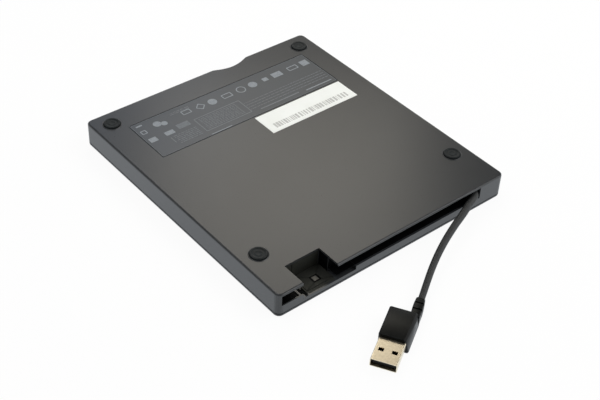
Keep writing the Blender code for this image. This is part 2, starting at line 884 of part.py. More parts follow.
def top_cover():
    lid = rounded_block("top_cover", (-half_width, half_width), (front_y, back_y), (0.0, lid_edge),
                        case_corner, bottom=lid_round, finish=lid_plastic)
    inner = (half_width - lid_margin, half_length - lid_margin)
    cut(lid, block("lid_hollow", (-inner[0], inner[0]), (-inner[1], inner[1]),
                   (lid_plate, lid_edge + cut_over)))
    ring_x = inner_x - gap
    ring_y = back_y - case_wall - gap
    ring_high = lid_plate + lid_ring_height
    root = lid_plate / 2
    for side in (1, -1):
        reach = both_sides(ring_x - lid_ring_wall, ring_x, side)
        join(lid, block(f"lid_side_{side}", reach, (front_y + lid_margin, ring_y),
                        (root, ring_high)))
    join(lid, block("lid_back_right", (-ring_x, boot_zone_x - case_wall - 2 * gap),
                    (ring_y - lid_ring_wall, ring_y), (root, ring_high)),
         block("lid_back_left", (pocket_left_x + case_wall + 2 * gap, ring_x),
               (ring_y - lid_ring_wall, ring_y), (root, ring_high)))
    rib_reach = 2 * (unit_half - lid_rib_inset)
    for i in range(lid_rib_count):
        x = -rib_reach / 2 + rib_reach * i / (lid_rib_count - 1)
        join(lid, block(f"lid_rib_{i + 1}", around(x, lid_rib_wall),
                        (unit_front + lid_margin, unit_rear - lid_margin),
                        (root, cover_low - gap)))
    return lid


def rubber_foot(number, place):
    low = case_height - foot_recess_depth + gap
    high = case_height + foot_proud
    profile = [
        (0.0, high - foot_dish_depth),
        (foot_dish_radius, high - foot_dish_depth),
        (foot_dish_radius + foot_dish_depth, high),
        (foot_radius - foot_round, high),
        (foot_radius - foot_round * foot_round_share, high - foot_round * foot_round_share),
        (foot_radius, high - foot_round),
        (foot_radius, low),
        (0.0, low),
    ]
    return turned(f"rubber_foot_{number}", profile, (*place, 0.0), foot_steps, foot_rubber)


def underside_labels():
    panel_x, panel_y = panel_reach()
    block("rating_panel", panel_x, panel_y, (case_height - panel_thickness, case_height), panel_film)
    label_x, label_y = label_reach()
    top = case_height + label_proud
    block("label_sticker", label_x, label_y, (top - label_thickness, top), label_paper)


def plug_catch():
    high = pocket_floor - catch_drop
    catch = rounded_block("plug_catch", around(catch_x(), catch_block),
                          around(catch_y(), catch_block), (lid_plate + gap, high),
                          catch_corner, top=inlay_side_gap, finish=catch_plastic)
    return catch


# Drive unit: steel pan, steel cover, fixed guides and the latch post

def chassis_pan():
    pan = block("chassis_pan", (-unit_half, unit_half), (unit_front, unit_rear),
                (cover_high + gap, pan_high), pan_steel)
    cut(pan, block("pan_inside", (-unit_half + sheet, unit_half - sheet),
                   (unit_front - cut_over, unit_rear - sheet), (cover_high - cut_over, pan_inner)))
    cut(pan, block("connector_gate", around(flex_x, connector_length + 2 * gap),
                   (unit_rear - sheet - cut_over, unit_rear + cut_over),
                   (bridge_high, bridge_high + connector_height + 2 * gap)))
    for number, (x, y) in enumerate(ear_places(), 1):
        side = 1 if x > 0 else -1
        reach = both_sides(unit_half - sheet / 2, unit_half + ear_length, side)
        join(pan, block(f"pan_ear_{number}", reach, around(y, ear_width), (ear_z, ear_z + sheet)))
        cut(pan, cylinder(f"pan_ear_hole_{number}", (x, y), screw_shank_radius + gap,
                          (ear_z - cut_over, ear_z + sheet + cut_over), steps=small_steps))
    join(pan, cylinder("latch_post", (latch_post_x, latch_post_y), latch_post_radius,
                       (pan_inner - latch_post_reach, pan_inner + sheet / 2), steps=small_steps))
    return pan


def drive_cover():
    cover = rounded_block("drive_cover", (-unit_half, unit_half), (unit_front, unit_rear),
                          (cover_low, cover_high), sheet, finish=pan_steel)
    return cover


def drive_screws():
    for number, (x, y) in enumerate(ear_places(), 1):
        head_high = ear_z - gap
        profile = [
            (0.0, ear_z + sheet + screw_length),
            (screw_shank_radius, ear_z + sheet + screw_length),
            (screw_shank_radius, head_high),
            (screw_head_radius, head_high),
            (screw_head_radius, head_high - screw_head_height),
            (0.0, head_high - screw_head_height),
        ]
        turned(f"drive_screw_{number}", profile, (x, y, 0.0), small_steps, bright_steel)


def channel_outline(name, side, outer, web, flange, low, high, lip, y, finish):
    item = block(name, both_sides(outer - flange, outer, side), y, (low, high), finish)
    hollow = both_sides(outer - flange - cut_over, outer - web, side)
    cut(item, block(name + "_hollow", hollow, (y[0] - cut_over, y[1] + cut_over),
                    (low + lip, high - lip)))
    return item


def slide_rails():
    rail_low = tongue_low - gap - rail_lip
    rail_high = tongue_high + gap + rail_lip
    guide_low = rail_low - gap - guide_lip
    guide_high = rail_high + gap + guide_lip
    for side, word in ((1, "left"), (-1, "right")):
        channel_outline(f"{word}_guide", side, guide_outer, guide_web, guide_flange, guide_low,
                        guide_high, guide_lip, (unit_front + gap, rail_rear), bright_steel)
        rail = channel_outline(f"{word}_rail", side, rail_outer, rail_web, rail_flange, rail_low,
                               rail_high, rail_lip, (rail_front, rail_rear - gap), bright_steel)
        set_origin(rail, (side * rail_outer, rail_front, tongue_middle_z))


# Bezel, button and light

def bezel():
    front = rounded_block("bezel", (-bezel_half, bezel_half), (front_y, bezel_back),
                          (bezel_low, bezel_high), bezel_round, top=bezel_edge_round,
                          bottom=bezel_edge_round, finish=bezel_plastic)
    half_notch = notch_width / 2 + bezel_block_margin
    wall_back = front_y + bezel_front_wall
    hollow_y = (wall_back, bezel_back + cut_over)
    hollow_z = (bezel_low + bezel_rim, bezel_high - bezel_rim)
    flange_x = around(notch_centre, button_width + 2 * button_flange + 2 * gap)
    flange_z = around(button_centre_z, button_height + 2 * button_flange)
    cut(front,
        block("bezel_hollow_right", (-bezel_half + bezel_rim, notch_centre - half_notch), hollow_y,
              hollow_z),
        block("bezel_hollow_left", (notch_centre + half_notch, bezel_half - bezel_rim), hollow_y,
              hollow_z),
        block("button_window", around(notch_centre, button_width + 2 * gap),
              (front_y - cut_over, bezel_back + cut_over),
              around(button_centre_z, button_height + 2 * gap)),
        block("flange_pocket", flange_x, (front_y + button_web, bezel_back + cut_over), flange_z),
        outline_solid("bezel_notch_cut", notch_outline(), (notch_floor, bezel_high + cut_over)),
        cylinder("light_hole", (notch_centre - light_offset, button_centre_z), light_radius + gap,
                 (front_y - cut_over, bezel_back), "Y", small_steps),
        cylinder("eject_hole", (notch_centre - eject_hole_offset, button_centre_z),
                 eject_hole_radius, (front_y - cut_over, bezel_back), "Y", small_steps))
    return front


def eject_button():
    x = around(notch_centre, button_width)
    flange_front = front_y + button_web + gap
    flange_back = flange_front + button_flange_depth
    button = rounded_block("eject_button", x, (front_y - button_proud, flange_back),
                           around(button_centre_z, button_height), button_round,
                           finish=bezel_plastic)
    join(button, block("button_flange", around(notch_centre, button_width + 2 * button_flange),
                       (flange_front, flange_back),
                       around(button_centre_z, button_height + 2 * (button_flange - gap))),
         block("button_stem", around(notch_centre, button_stem_width),
               (flange_front + button_flange_depth / 2, flange_front + button_stem_length),
               (stem_z() - button_stem_height / 2, stem_z() + button_stem_height / 2)))
    set_origin(button, (notch_centre, front_y, button_centre_z))


def stem_z():
    return tray_high + 2 * gap + button_stem_height / 2


def light_window():
    cylinder("light_pipe", (notch_centre - light_offset, button_centre_z), light_radius,
             (front_y, bezel_back - gap), "Y", small_steps, light_plastic)


def eject_switch():
    face = front_y + button_web + gap + button_stem_length + button_travel + gap / 2
    block("eject_switch", around(notch_centre, switch_width), (face, face + switch_depth),
          (tray_high + gap, tray_high + gap + switch_height), chip_epoxy)


# Disc tray

def tray():
    deck = rounded_block("tray", (-tray_half, tray_half), (tray_front, tray_rear),
                         (tray_low, tray_high), corner=gap, finish=tray_plastic)
    skirt_z = (tray_high - tray_skirt / 2, skirt_high)
    for side in (1, -1):
        join(deck, block(f"tray_skirt_{side}", both_sides(skirt_outer - tray_skirt, skirt_outer, side),
                         (tray_front, tray_rear), skirt_z),
             block(f"tray_tongue_{side}", both_sides(skirt_outer - tray_skirt / 2, tongue_outer, side),
                   (rail_front, tray_rear), (tongue_low, tongue_high)))
    wall_y = (tray_front, tray_front + tray_skirt)
    switch_gap = around(notch_centre, button_width + 4 * button_flange)
    wall_end = skirt_outer - tray_skirt / 2
    join(deck, block("tray_front_wall_right", (-wall_end, switch_gap[0]), wall_y, skirt_z),
         block("tray_front_wall_left", (switch_gap[1], wall_end), wall_y, skirt_z))
    above = tray_low - cut_over
    cut(deck,
        cylinder("disc_recess", (0.0, disc_y), disc_radius, (above, disc_z), steps=disc_steps),
        cylinder("small_disc_recess", (0.0, disc_y), small_disc_radius,
                 (above, disc_z + small_disc_step), steps=small_disc_steps),
        outline_solid("traverse_window", shroud_outline(gap),
                      (above, tray_high + cut_over), parent=spindle_axis))
    for side in (1, -1):
        cut(deck, cylinder(f"finger_cut_{side}", (side * tray_half, tray_rear), tray_notch_radius,
                           (above, tray_high + cut_over / 4)))
    join(deck, cylinder("latch_pin", latch_pivot(), latch_pin_radius,
                        (tray_high - tray_skirt / 2, latch_low() + latch_height),
                        steps=small_steps))
    rib_z = (tray_high - tray_skirt / 2, tray_high + tray_rib_drop)
    rib_x = (board_edge_x() + board_wing_x()) / 2
    join(deck, block("tray_rib_rear", (-wall_end, wall_end),
                     (tray_rear - tray_notch_radius - 2 * tray_rib_wall,
                      tray_rear - tray_notch_radius - tray_rib_wall), rib_z),
         block("tray_rib_side", around(rib_x, tray_rib_wall),
               (disc_y - board_wing_reach, board_bar_y()), rib_z))
    set_origin(deck, (0.0, tray_front, tray_low))
    return deck


def shroud_outline(grow=0.0):
    # Round about the spindle, straight beside the pickup, in the traverse's own frame.
    half = shroud_half_width + grow
    points = []
    for i in range(shroud_steps + 1):
        turn = math.pi * i / shroud_steps
        points.append((half * math.cos(turn), half * math.sin(turn)))
    points.append((-half, -shroud_front - grow))
    points.append((half, -shroud_front - grow))
    return points


def board_edge_x():
    return -(skirt_outer - board_side_inset)


def board_wing_x():
    return -(frame_corner + board_wing_space)


def board_bar_y():
    return disc_y + frame_corner + board_bar_space


def tray_bottom_cover():
    right = board_edge_x() - 2 * gap
    cover = block("tray_bottom_cover", (right, skirt_outer),
                  (tray_front + tray_cover_inset, tray_rear - tray_cover_inset),
                  (tray_cover_low, tray_cover_low + tray_cover_sheet), pan_steel)
    cut(cover, cylinder("cover_round", (0.0, disc_y), motor_base_half, (tray_cover_low - cut_over,
                        tray_cover_low + tray_cover_sheet + cut_over), steps=foot_steps))
    return cover


# Traverse, in its own frame: the spindle is at the origin and the pickup runs towards -Y

def traverse_frame():
    hw = frame_half_width
    points = [(hw, frame_rear), (-hw, frame_rear), (-hw, -frame_front + frame_chamfer),
              (-hw + frame_chamfer, -frame_front), (hw - frame_chamfer, -frame_front),
              (hw, -frame_front + frame_chamfer)]
    frame = outline_solid("traverse_frame", points, (frame_low, frame_high), pan_steel, spindle_axis)
    low, high = frame_low - cut_over, frame_high + cut_over
    window = (-(sled_outer() + sled_raised_half_length + gap),
              -(sled_inner - sled_raised_half_length - gap))
    tab_high = rod_z + rod_radius * rod_tab_share
    for x in (main_rod_x, support_rod_x):
        for y in rod_tab_places():
            join(frame, block(f"rod_tab_{x:.3f}_{y:.3f}", around(x, rod_tab_width),
                              around(y, rod_tab_length), (frame_high - sheet, tab_high),
                              parent=spindle_axis))
    cut(frame,
        cylinder("rotor_hole", (0.0, 0.0), turntable_radius + gap, (low, high),
                 parent=spindle_axis),
        block("sled_window", around(0.0, 2 * (sled_raised_half_width + gap)), window, (low, high),
              parent=spindle_axis),
        block("motor_window", (screw_x - sled_motor_radius - gap, hw + cut_over),
              (-motor_front() - 2 * gap, -motor_front() + sled_motor_length + 2 * gap), (low, high),
              parent=spindle_axis))
    for x in (main_rod_x, support_rod_x):
        cut(frame, cylinder(f"rod_bore_{x:.3f}", (x, rod_z), rod_radius + gap,
                            (-frame_front, -rod_start() + cut_over), "Y", small_steps,
                            parent=spindle_axis))
    for number, place in enumerate(damper_places(), 1):
        cut(frame, cylinder(f"damper_hole_{number}", place, damper_neck + gap, (low, high),
                            steps=small_steps, parent=spindle_axis))
    return frame


def sled_outer():
    return sled_inner + sled_stroke


def rod_start():
    return sled_inner - sled_half_length - gap - rod_tab_length


def rod_end():
    return sled_outer() + sled_half_length + gap + rod_tab_length


def rod_tab_places():
    return (-rod_start() - rod_tab_length / 2, -rod_end() + rod_tab_length / 2)


def motor_front():
    return rod_start() - gap


def damper_places():
    return [(-damper_x, damper_rear_y), (damper_x, damper_rear_y),
            (0.0, damper_front_edge - frame_front)]


def traverse_dampers():
    for number, (x, y) in enumerate(damper_places(), 1):
        profile = [
            (damper_bore, tray_cover_low - gap),
            (damper_radius, tray_cover_low - gap),
            (damper_radius, frame_high + gap),
            (damper_neck, frame_high + gap),
            (damper_neck, frame_low),
            (damper_bore, frame_low),
            (damper_bore, tray_cover_low - gap),
        ]
        turned(f"traverse_damper_{number}", profile, (x, y, 0.0), small_steps, foot_rubber,
               spindle_axis)


def spindle_parts():
    table = turntable_low
    rotor_low = table + turntable_height
    rotor_high = rotor_low + rotor_height
    profile = [
        (0.0, rotor_high + spindle_shaft_length),
        (spindle_shaft_radius, rotor_high + spindle_shaft_length),
        (spindle_shaft_radius, rotor_high),
        (rotor_radius, rotor_high),
        (rotor_radius, rotor_low),
        (turntable_radius, rotor_low),
        (turntable_radius, table),
        (ring_outer + gap, table),
        (ring_outer + gap, table + ring_seat_depth),
        (ring_inner - gap, table + ring_seat_depth),
        (ring_inner - gap, table),
        (hub_radius, table),
        (hub_radius, table - hub_height / 2),
        (hub_top_radius, table - hub_height),
        (0.0, table - hub_height),
    ]
    hub = turned("spindle_hub", profile, (0.0, 0.0, 0.0), hub_steps, bright_steel, spindle_axis)
    for i in range(hub_slot_count):
        slot = block(f"hub_slot_{i + 1}", (hub_radius - hub_slot_depth, hub_radius + hub_slot / 4),
                     around(0.0, hub_slot), (table - hub_height - cut_over, table - hub_height / 4),
                     parent=spindle_axis)
        slot.rotation_euler = (0.0, 0.0, 2 * math.pi * i / hub_slot_count)
        cut(hub, slot)
    ring_low = table + ring_seat_depth - gap - ring_height
    ring = [
        (ring_inner, ring_low + ring_height),
        (ring_outer, ring_low + ring_height),
        (ring_outer, ring_low),
        (ring_inner, ring_low),
        (ring_inner, ring_low + ring_height),
    ]
    turned("friction_ring", ring, (0.0, 0.0, 0.0), hub_steps, foot_rubber, spindle_axis)

    base_low = rotor_high + gap
    base_high = base_low + motor_base_sheet
    half = motor_base_half
    base = rounded_block("spindle_motor_base", (-half, half), (-half, half), (base_low, base_high),
                         2 * gap, finish=pan_steel, parent=spindle_axis)
    boss_high = base_high + motor_boss_height
    join(base, cylinder("bearing_boss", (0.0, 0.0), motor_boss_radius,
                        (base_high - motor_base_sheet / 2, boss_high), parent=spindle_axis))
    cut(base, cylinder("bearing_bore", (0.0, 0.0), spindle_shaft_radius + gap,
                       (base_low - cut_over, rotor_high + spindle_shaft_length + gap),
                       steps=small_steps, parent=spindle_axis))


def rods_and_lead_screw():
    for name, x in (("main_guide_rod", main_rod_x), ("support_guide_rod", support_rod_x)):
        cylinder(name, (x, rod_z), rod_radius, (-rod_end(), -rod_start()), "Y", small_steps,
                 bright_steel, spindle_axis)
    motor_y = -motor_front()
    cylinder("sled_motor", (screw_x, rod_z), sled_motor_radius, (motor_y, motor_y + sled_motor_length),
             "Y", small_steps, bright_steel, spindle_axis)
    # The screw's thread is a row of turned grooves at its pitch.
    length = sled_stroke + 2 * sled_half_length
    profile = [(0.0, 0.0)]
    height = 0.0
    groove = lead_screw_pitch / 4
    while height > -length + lead_screw_pitch:
        profile.append((lead_screw_radius, height))
        profile.append((lead_screw_radius, height - groove))
        profile.append((lead_screw_radius - lead_groove_depth, height - 2 * groove))
        height -= lead_screw_pitch
    profile.append((lead_screw_radius, height))
    profile.append((lead_screw_radius, -length))
    profile.append((0.0, -length))
    screw = turned("lead_screw", profile, (screw_x, motor_y - gap, rod_z), lead_screw_steps,
                   bright_steel, spindle_axis)
    screw.rotation_euler = (-math.pi / 2, 0.0, 0.0)


def pickup():
    y = -sled_inner
    width = (main_rod_x - sled_side, support_rod_x + sled_side)
    sled = block("pickup_sled", width, around(y, 2 * sled_half_length), (sled_low, sled_high),
                 sled_alloy, spindle_axis)
    raised_x = around(0.0, 2 * sled_raised_half_width)
    raised_y = around(y, 2 * sled_raised_half_length)
    join(sled, block("sled_raised", raised_x, raised_y, (sled_raised_low, sled_low + sheet),
                     parent=spindle_axis),
         block("follower_arm", (support_rod_x, screw_x), around(y, lead_screw_pitch),
               (sled_low, sled_high), parent=spindle_axis))
    cut(sled,
        cylinder("sled_main_bore", (main_rod_x, rod_z), rod_radius + rod_play,
                 around(y, 2 * sled_half_length + cut_over), "Y", small_steps, parent=spindle_axis),
        cylinder("sled_support_bore", (support_rod_x, rod_z), rod_radius + rod_play,
                 around(y, 2 * sled_half_length + cut_over), "Y", small_steps, parent=spindle_axis),
        cylinder("follower_groove", (screw_x, rod_z), lead_screw_radius + gap,
                 around(y, 2 * sled_half_length), "Y", small_steps, parent=spindle_axis),
        block("holder_pocket", around(0.0, 2 * (holder_half_width + gap)),
              around(y, 2 * (holder_half_length + gap)),
              (sled_raised_low - cut_over, holder_low + holder_height + holder_pocket_floor),
              parent=spindle_axis))
    holder = rounded_block("lens_holder", around(0.0, 2 * holder_half_width),
                           around(y, 2 * holder_half_length),
                           (holder_low, holder_low + holder_height), gap, finish=holder_plastic,
                           parent=spindle_axis)
    cut(holder, cylinder("lens_bore", (0.0, y), lens_radius + gap,
                         (holder_low - cut_over, holder_low + holder_height - lens_seat),
                         parent=spindle_axis))
    seat = holder_low + holder_height - lens_seat - gap
    profile = [
        (0.0, seat),
        (lens_radius, seat),
        (lens_radius, seat - lens_edge),
    ]
    for i in range(1, corner_steps + 1):
        turn = math.pi / 2 * i / corner_steps
        profile.append((lens_radius * math.cos(turn), seat - lens_edge - lens_dome * math.sin(turn)))
    profile[-1] = (0.0, seat - lens_edge - lens_dome)
    turned("objective_lens", profile, (0.0, y, 0.0), curve_steps, lens_glass, spindle_axis)


def pickup_shroud():
    high = shroud_low + shroud_sheet
    shroud = outline_solid("pickup_shroud", shroud_outline(), (shroud_low, high), shroud_alloy,
                           spindle_axis)
    slot_near = sled_inner - holder_half_length - gap
    slot_far = shroud_front - shroud_slot_end
    cut(shroud,
        cylinder("shroud_hub_hole", (0.0, 0.0), turntable_radius + gap,
                 (shroud_low - cut_over, high + cut_over), parent=spindle_axis),
        block("shroud_slot", around(0.0, 2 * shroud_slot_half_width), (-slot_far, -slot_near),
              (shroud_low - cut_over, high + cut_over), parent=spindle_axis))


# Boards, latch and flat cable

def tray_electronics():
    edge = board_edge_x()
    rear = tray_rear - tray_cover_inset - board_rear_inset
    wing_x, wing_y, bar_y = board_wing_x(), disc_y - board_wing_reach, board_bar_y()
    points = [(edge, wing_y), (wing_x, wing_y), (wing_x, bar_y), (-edge, bar_y), (-edge, rear),
              (edge, rear)]
    outline_solid("main_board", points, (board_low, board_high), board_laminate)
    chips = (("servo_chip", servo_chip_x, servo_chip_rear_inset, servo_chip_size),
             ("driver_chip", driver_chip_x, driver_chip_rear_inset, driver_chip_size))
    for name, x, inset, size in chips:
        block(name, around(x, size), around(rear - inset, size),
              (chip_high - chip_height, chip_high), chip_epoxy)
    block("flex_socket", around(socket_x, socket_length),
          (bar_y + gap, bar_y + gap + socket_width), (chip_high - chip_height, chip_high),
          connector_nylon)


def latch_pivot():
    return (latch_post_x + latch_side, latch_post_y + latch_arm)


def latch_low():
    return tray_high + gap


def latch_parts():
    # In the lever's own frame the eye is at the origin and the hook reaches behind the post.
    # The lever is turned out of the post's way, as it is while the tray moves.
    low, high = latch_low(), latch_low() + latch_height
    half = latch_width / 2
    hook_near = -latch_arm + latch_post_radius + gap
    tip = -latch_side
    points = [(half, 0.0), (-half, 0.0), (-half, hook_near + latch_hook), (tip, hook_near + half),
              (tip, hook_near), (half, hook_near)]
    lever = outline_solid("latch_lever", points, (low, high), lever_plastic, latch_axis)
    join(lever, cylinder("latch_eye", (0.0, 0.0), latch_pivot_radius, (low, high),
                         parent=latch_axis))
    cut(lever, cylinder("latch_bore", (0.0, 0.0), latch_bore_radius,
                        (low - cut_over, high + cut_over), steps=small_steps, parent=latch_axis))
    px, py = latch_pivot()
    sx = px + half + solenoid_space
    block("latch_solenoid", (sx, sx + solenoid_length), around(py - latch_arm / 2, solenoid_width),
          (low, low + solenoid_height), coil_wire)


def flat_cable():
    rear = unit_rear - sheet - gap
    block("flex_cable", around(flex_x, flex_width), (rear - flex_length, rear),
          (flex_low, flex_low + flex_sheet), flex_film)


def bridge_electronics():
    x = around(bridge_centre_x, bridge_length)
    y = (bridge_y, bridge_y + bridge_width)
    block("bridge_board", x, y, (bridge_z, bridge_high), board_laminate)
    low = bridge_high + gap
    middle_y = bridge_y + bridge_width / 2
    block("bridge_chip", around(bridge_chip_x, bridge_chip_size), around(middle_y, bridge_chip_size),
          (low, low + chip_height), chip_epoxy)
    front = unit_rear - connector_front_reach
    socket = block("drive_connector", around(flex_x, connector_length),
                   (front, front + connector_depth), (low, low + connector_height - gap),
                   connector_nylon)
    cut(socket, block("connector_mouth", around(flex_x, connector_length - 2 * connector_key),
                      (front - cut_over, front + connector_depth / 2),
                      around(low + connector_height / 2, connector_key)))


# Cord, gland and plug

def cord_parts():
    flange_x = (gland_wall_x - gap - gland_flange_length, gland_wall_x - gap)
    gland = block("cord_gland", flange_x, (gland_y - gland_flange_reach, back_y - case_wall - gap),
                  around(gland_z, 2 * gland_flange_reach), cord_rubber)
    neck = cylinder("gland_neck", (gland_y, gland_z), gland_neck_radius,
                    (gland_wall_x - gap - gland_flange_length / 2, channel_x + gap), "X")
    mouth = (channel_x, gland_y, gland_z)
    sleeve_points = smooth_points(route_from(mouth, sleeve_route), sleeve_radius)
    sleeve = curve_to_mesh(tube("gland_sleeve", sleeve_points, sleeve_radius, None,
                                cord_radius / sleeve_radius))
    join(gland, neck, sleeve)

    free = route_from(mouth, cord_route)
    route = [end_point(free[0], free[1])] + free[1:] + [boot_end(gap)]
    tube("usb_cord", smooth_points(route, cord_step_share * cord_radius), cord_radius, cord_rubber)
    boss = (*bridge_boss_places()[0], gland_z)
    inner = route_from(mouth, inner_route_from_gland) + route_from(boss, inner_route_to_boss)
    tube("inner_cord", smooth_points(inner, inner_cord_step_share * cord_radius), cord_radius,
         cord_rubber)


def route_from(place, offsets):
    return [tuple(Vector(place) + Vector(offset)) for offset in offsets]


def end_point(first, second):
    # The cord starts one gap after the sleeve's end.
    way = (Vector(second) - Vector(first)).normalized()
    return tuple(Vector(first) + way * gap)


def boot_end(extra=0.0):
    place = Vector((-plug_length - boot_length - extra, boot_y(), plug_middle_z))
    turned_place = Matrix.Rotation(plug_angle, 3, "Z") @ place
    return (plug_x + turned_place.x, plug_y + turned_place.y, plug_middle_z)


def boot_y():
    return plug_width / 2 - boot_width / 2


def plug():
    # In the plug's own frame the shell points to +X and starts at the origin.
    body = rounded_block("plug_body", (-plug_length, -plug_nose_length / 2),
                         (-plug_width / 2, plug_width / 2), (0.0, plug_height), plug_corner,
                         top=plug_round, bottom=plug_round, finish=plug_rubber, parent=plug_axis)
    nose = rounded_block("plug_nose", (-plug_nose_length * 2, 0.0),
                         (-plug_width / 2 + plug_nose_inset, plug_width / 2 - plug_nose_inset),
                         (plug_nose_inset, plug_height - plug_nose_inset), plug_round,
                         parent=plug_axis)
    boot = boot_loft()
    join(body, nose, boot)
    for i in range(boot_groove_count):
        x = -plug_length - boot_length + boot_groove_pitch * (i + 1) - boot_groove
        for side in (1, -1):
            edge = boot_y() + side * boot_width / 2
            reach = (edge - side * boot_groove_depth, edge + side * cut_over)
            cut(body, block(f"boot_groove_{i + 1}_{side}", around(x, boot_groove),
                            (min(reach), max(reach)), (-cut_over, plug_height + cut_over),
                            parent=plug_axis))
        for side in (1, -1):
            edge = plug_middle_z + side * boot_height / 2
            reach = (edge - side * boot_groove_depth, edge + side * cut_over)
            cut(body, block(f"boot_ring_{i + 1}_{side}", around(x, boot_groove),
                            around(boot_y(), boot_width + cut_over), (min(reach), max(reach)),
                            parent=plug_axis))
    cut(body, block("shell_socket", (-plug_nose_length, cut_over),
                    around(0.0, shell_width + 2 * gap),
                    around(plug_middle_z, shell_height + 2 * gap), parent=plug_axis))

    shell = rounded_shell()
    hole_x = shell_length - shell_hole_from_tip
    for side in (1, -1):
        cut(shell, block(f"shell_hole_{side}", around(hole_x, shell_hole_length),
                         around(side * shell_hole_spacing / 2, shell_hole_width),
                         (plug_middle_z, plug_middle_z + shell_height), parent=plug_axis))
    inside = shell_height - 2 * shell_wall
    tongue_z = plug_middle_z - inside / 2 + tongue_side_gap
    block("plug_tongue", (-plug_nose_length + gap, tongue_length),
          around(0.0, shell_width - 2 * shell_wall - 2 * tongue_side_gap),
          (tongue_z, tongue_z + tongue_thickness), connector_nylon, plug_axis)


def boot_loft():
    bm = block_mesh((-plug_length - boot_length, -plug_length + plug_round * 2),
                    around(boot_y(), boot_width), around(plug_middle_z, boot_height))
    for vert in bm.verts:
        if vert.co.x < -plug_length - boot_length / 2:
            share = boot_tip_width / boot_width
            vert.co.y = boot_y() + (vert.co.y - boot_y()) * share
            vert.co.z = plug_middle_z + (vert.co.z - plug_middle_z) * share
    lengthwise = [e for e in bm.edges if abs(e.verts[0].co.x - e.verts[1].co.x) > boot_length / 2]
    bmesh.ops.bevel(bm, geom=lengthwise, offset=plug_round * 1.5, segments=edge_steps, profile=0.5,
                    affect="EDGES")
    return mesh_object("plug_boot", bm, parent=plug_axis)


def shell_block(name, x, width, height, corner, finish=None):
    bm = block_mesh(x, around(0.0, width), around(plug_middle_z, height))
    lengthwise = [e for e in bm.edges if abs(e.verts[0].co.x - e.verts[1].co.x) > (x[1] - x[0]) / 2]
    bmesh.ops.bevel(bm, geom=lengthwise, offset=corner, segments=edge_steps, profile=0.5,
                    affect="EDGES")
    return mesh_object(name, bm, finish, plug_axis, crease_angle)


def rounded_shell():
    shell = shell_block("plug_shell", (-plug_nose_length + gap, shell_length), shell_width,
                        shell_height, shell_round, shell_nickel)
    inner_round = shell_round - shell_wall / 2
    cut(shell, shell_block("shell_inside", (-plug_nose_length - cut_over, shell_length + cut_over),
                           shell_width - 2 * shell_wall, shell_height - 2 * shell_wall,
                           inner_round))
    return shell


spindle_axis = empty("spindle_axis", (0.0, disc_y, 0.0), traverse_angle)
latch_axis = empty("latch_axis", (*latch_pivot(), 0.0), latch_release)
plug_axis = empty("plug_axis", (plug_x, plug_y, 0.0), plug_angle)
bpy.context.view_layer.update()

bottom_case()
top_cover()
for foot_number, foot_place in enumerate(foot_places(), 1):
    rubber_foot(foot_number, foot_place)
underside_labels()
plug_catch()
chassis_pan()
drive_cover()
drive_screws()
slide_rails()
bezel()
eject_button()
light_window()
eject_switch()
tray()
tray_bottom_cover()
traverse_frame()
traverse_dampers()
spindle_parts()
rods_and_lead_screw()
pickup()
pickup_shroud()
tray_electronics()
latch_parts()
flat_cable()
bridge_electronics()
cord_parts()
plug()
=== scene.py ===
# Looks of the portable disc drive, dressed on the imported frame.
import json
import math
import random

import bmesh
import bpy
from mathutils import Matrix, Vector


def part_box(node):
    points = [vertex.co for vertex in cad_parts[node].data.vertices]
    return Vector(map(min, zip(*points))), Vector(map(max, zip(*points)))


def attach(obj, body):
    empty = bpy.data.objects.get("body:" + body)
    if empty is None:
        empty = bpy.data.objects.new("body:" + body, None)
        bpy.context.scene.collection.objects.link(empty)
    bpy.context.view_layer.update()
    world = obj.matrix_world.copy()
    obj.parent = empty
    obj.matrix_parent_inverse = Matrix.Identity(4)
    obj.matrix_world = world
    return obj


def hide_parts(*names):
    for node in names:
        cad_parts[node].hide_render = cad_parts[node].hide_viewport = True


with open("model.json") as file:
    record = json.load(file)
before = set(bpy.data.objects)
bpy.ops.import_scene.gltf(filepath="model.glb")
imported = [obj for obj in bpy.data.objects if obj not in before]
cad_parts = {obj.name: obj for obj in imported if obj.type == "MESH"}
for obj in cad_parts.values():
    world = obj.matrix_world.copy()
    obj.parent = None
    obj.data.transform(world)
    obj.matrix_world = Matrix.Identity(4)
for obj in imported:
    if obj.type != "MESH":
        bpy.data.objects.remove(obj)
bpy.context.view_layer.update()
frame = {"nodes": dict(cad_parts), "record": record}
frameNodes = frame["nodes"]
mm = 0.001
print("frame in, nodes:", len(frameNodes))


# Colour and node helpers

def hexToLinear(code, alpha=1.0):
    channels = []
    for start in (1, 3, 5):
        value = int(code[start:start + 2], 16) / 255
        channels.append(value / 12.92 if value <= 0.04045 else ((value + 0.055) / 1.055) ** 2.4)
    return (*channels, alpha)


def addNode(tree, kind, settings=None, links=None):
    node = tree.nodes.new(kind)
    for key, value in (settings or {}).items():
        if isinstance(key, int) or key in node.inputs:
            node.inputs[key].default_value = value
        else:
            setattr(node, key, value)
    for key, source in (links or {}).items():
        tree.links.new(source, node.inputs[key])
    return node


def newFinish(name):
    finish = bpy.data.materials.new(name)
    finish.use_nodes = True
    tree = finish.node_tree
    shader = tree.nodes["Principled BSDF"]
    place = addNode(tree, "ShaderNodeTexCoord")
    return finish, tree, shader, place.outputs["Object"]


def setShader(shader, values):
    for key, value in values.items():
        shader.inputs[key].default_value = value


def stretched(tree, place, scale):
    return addNode(tree, "ShaderNodeMapping", {"Scale": scale}, {"Vector": place}).outputs["Vector"]


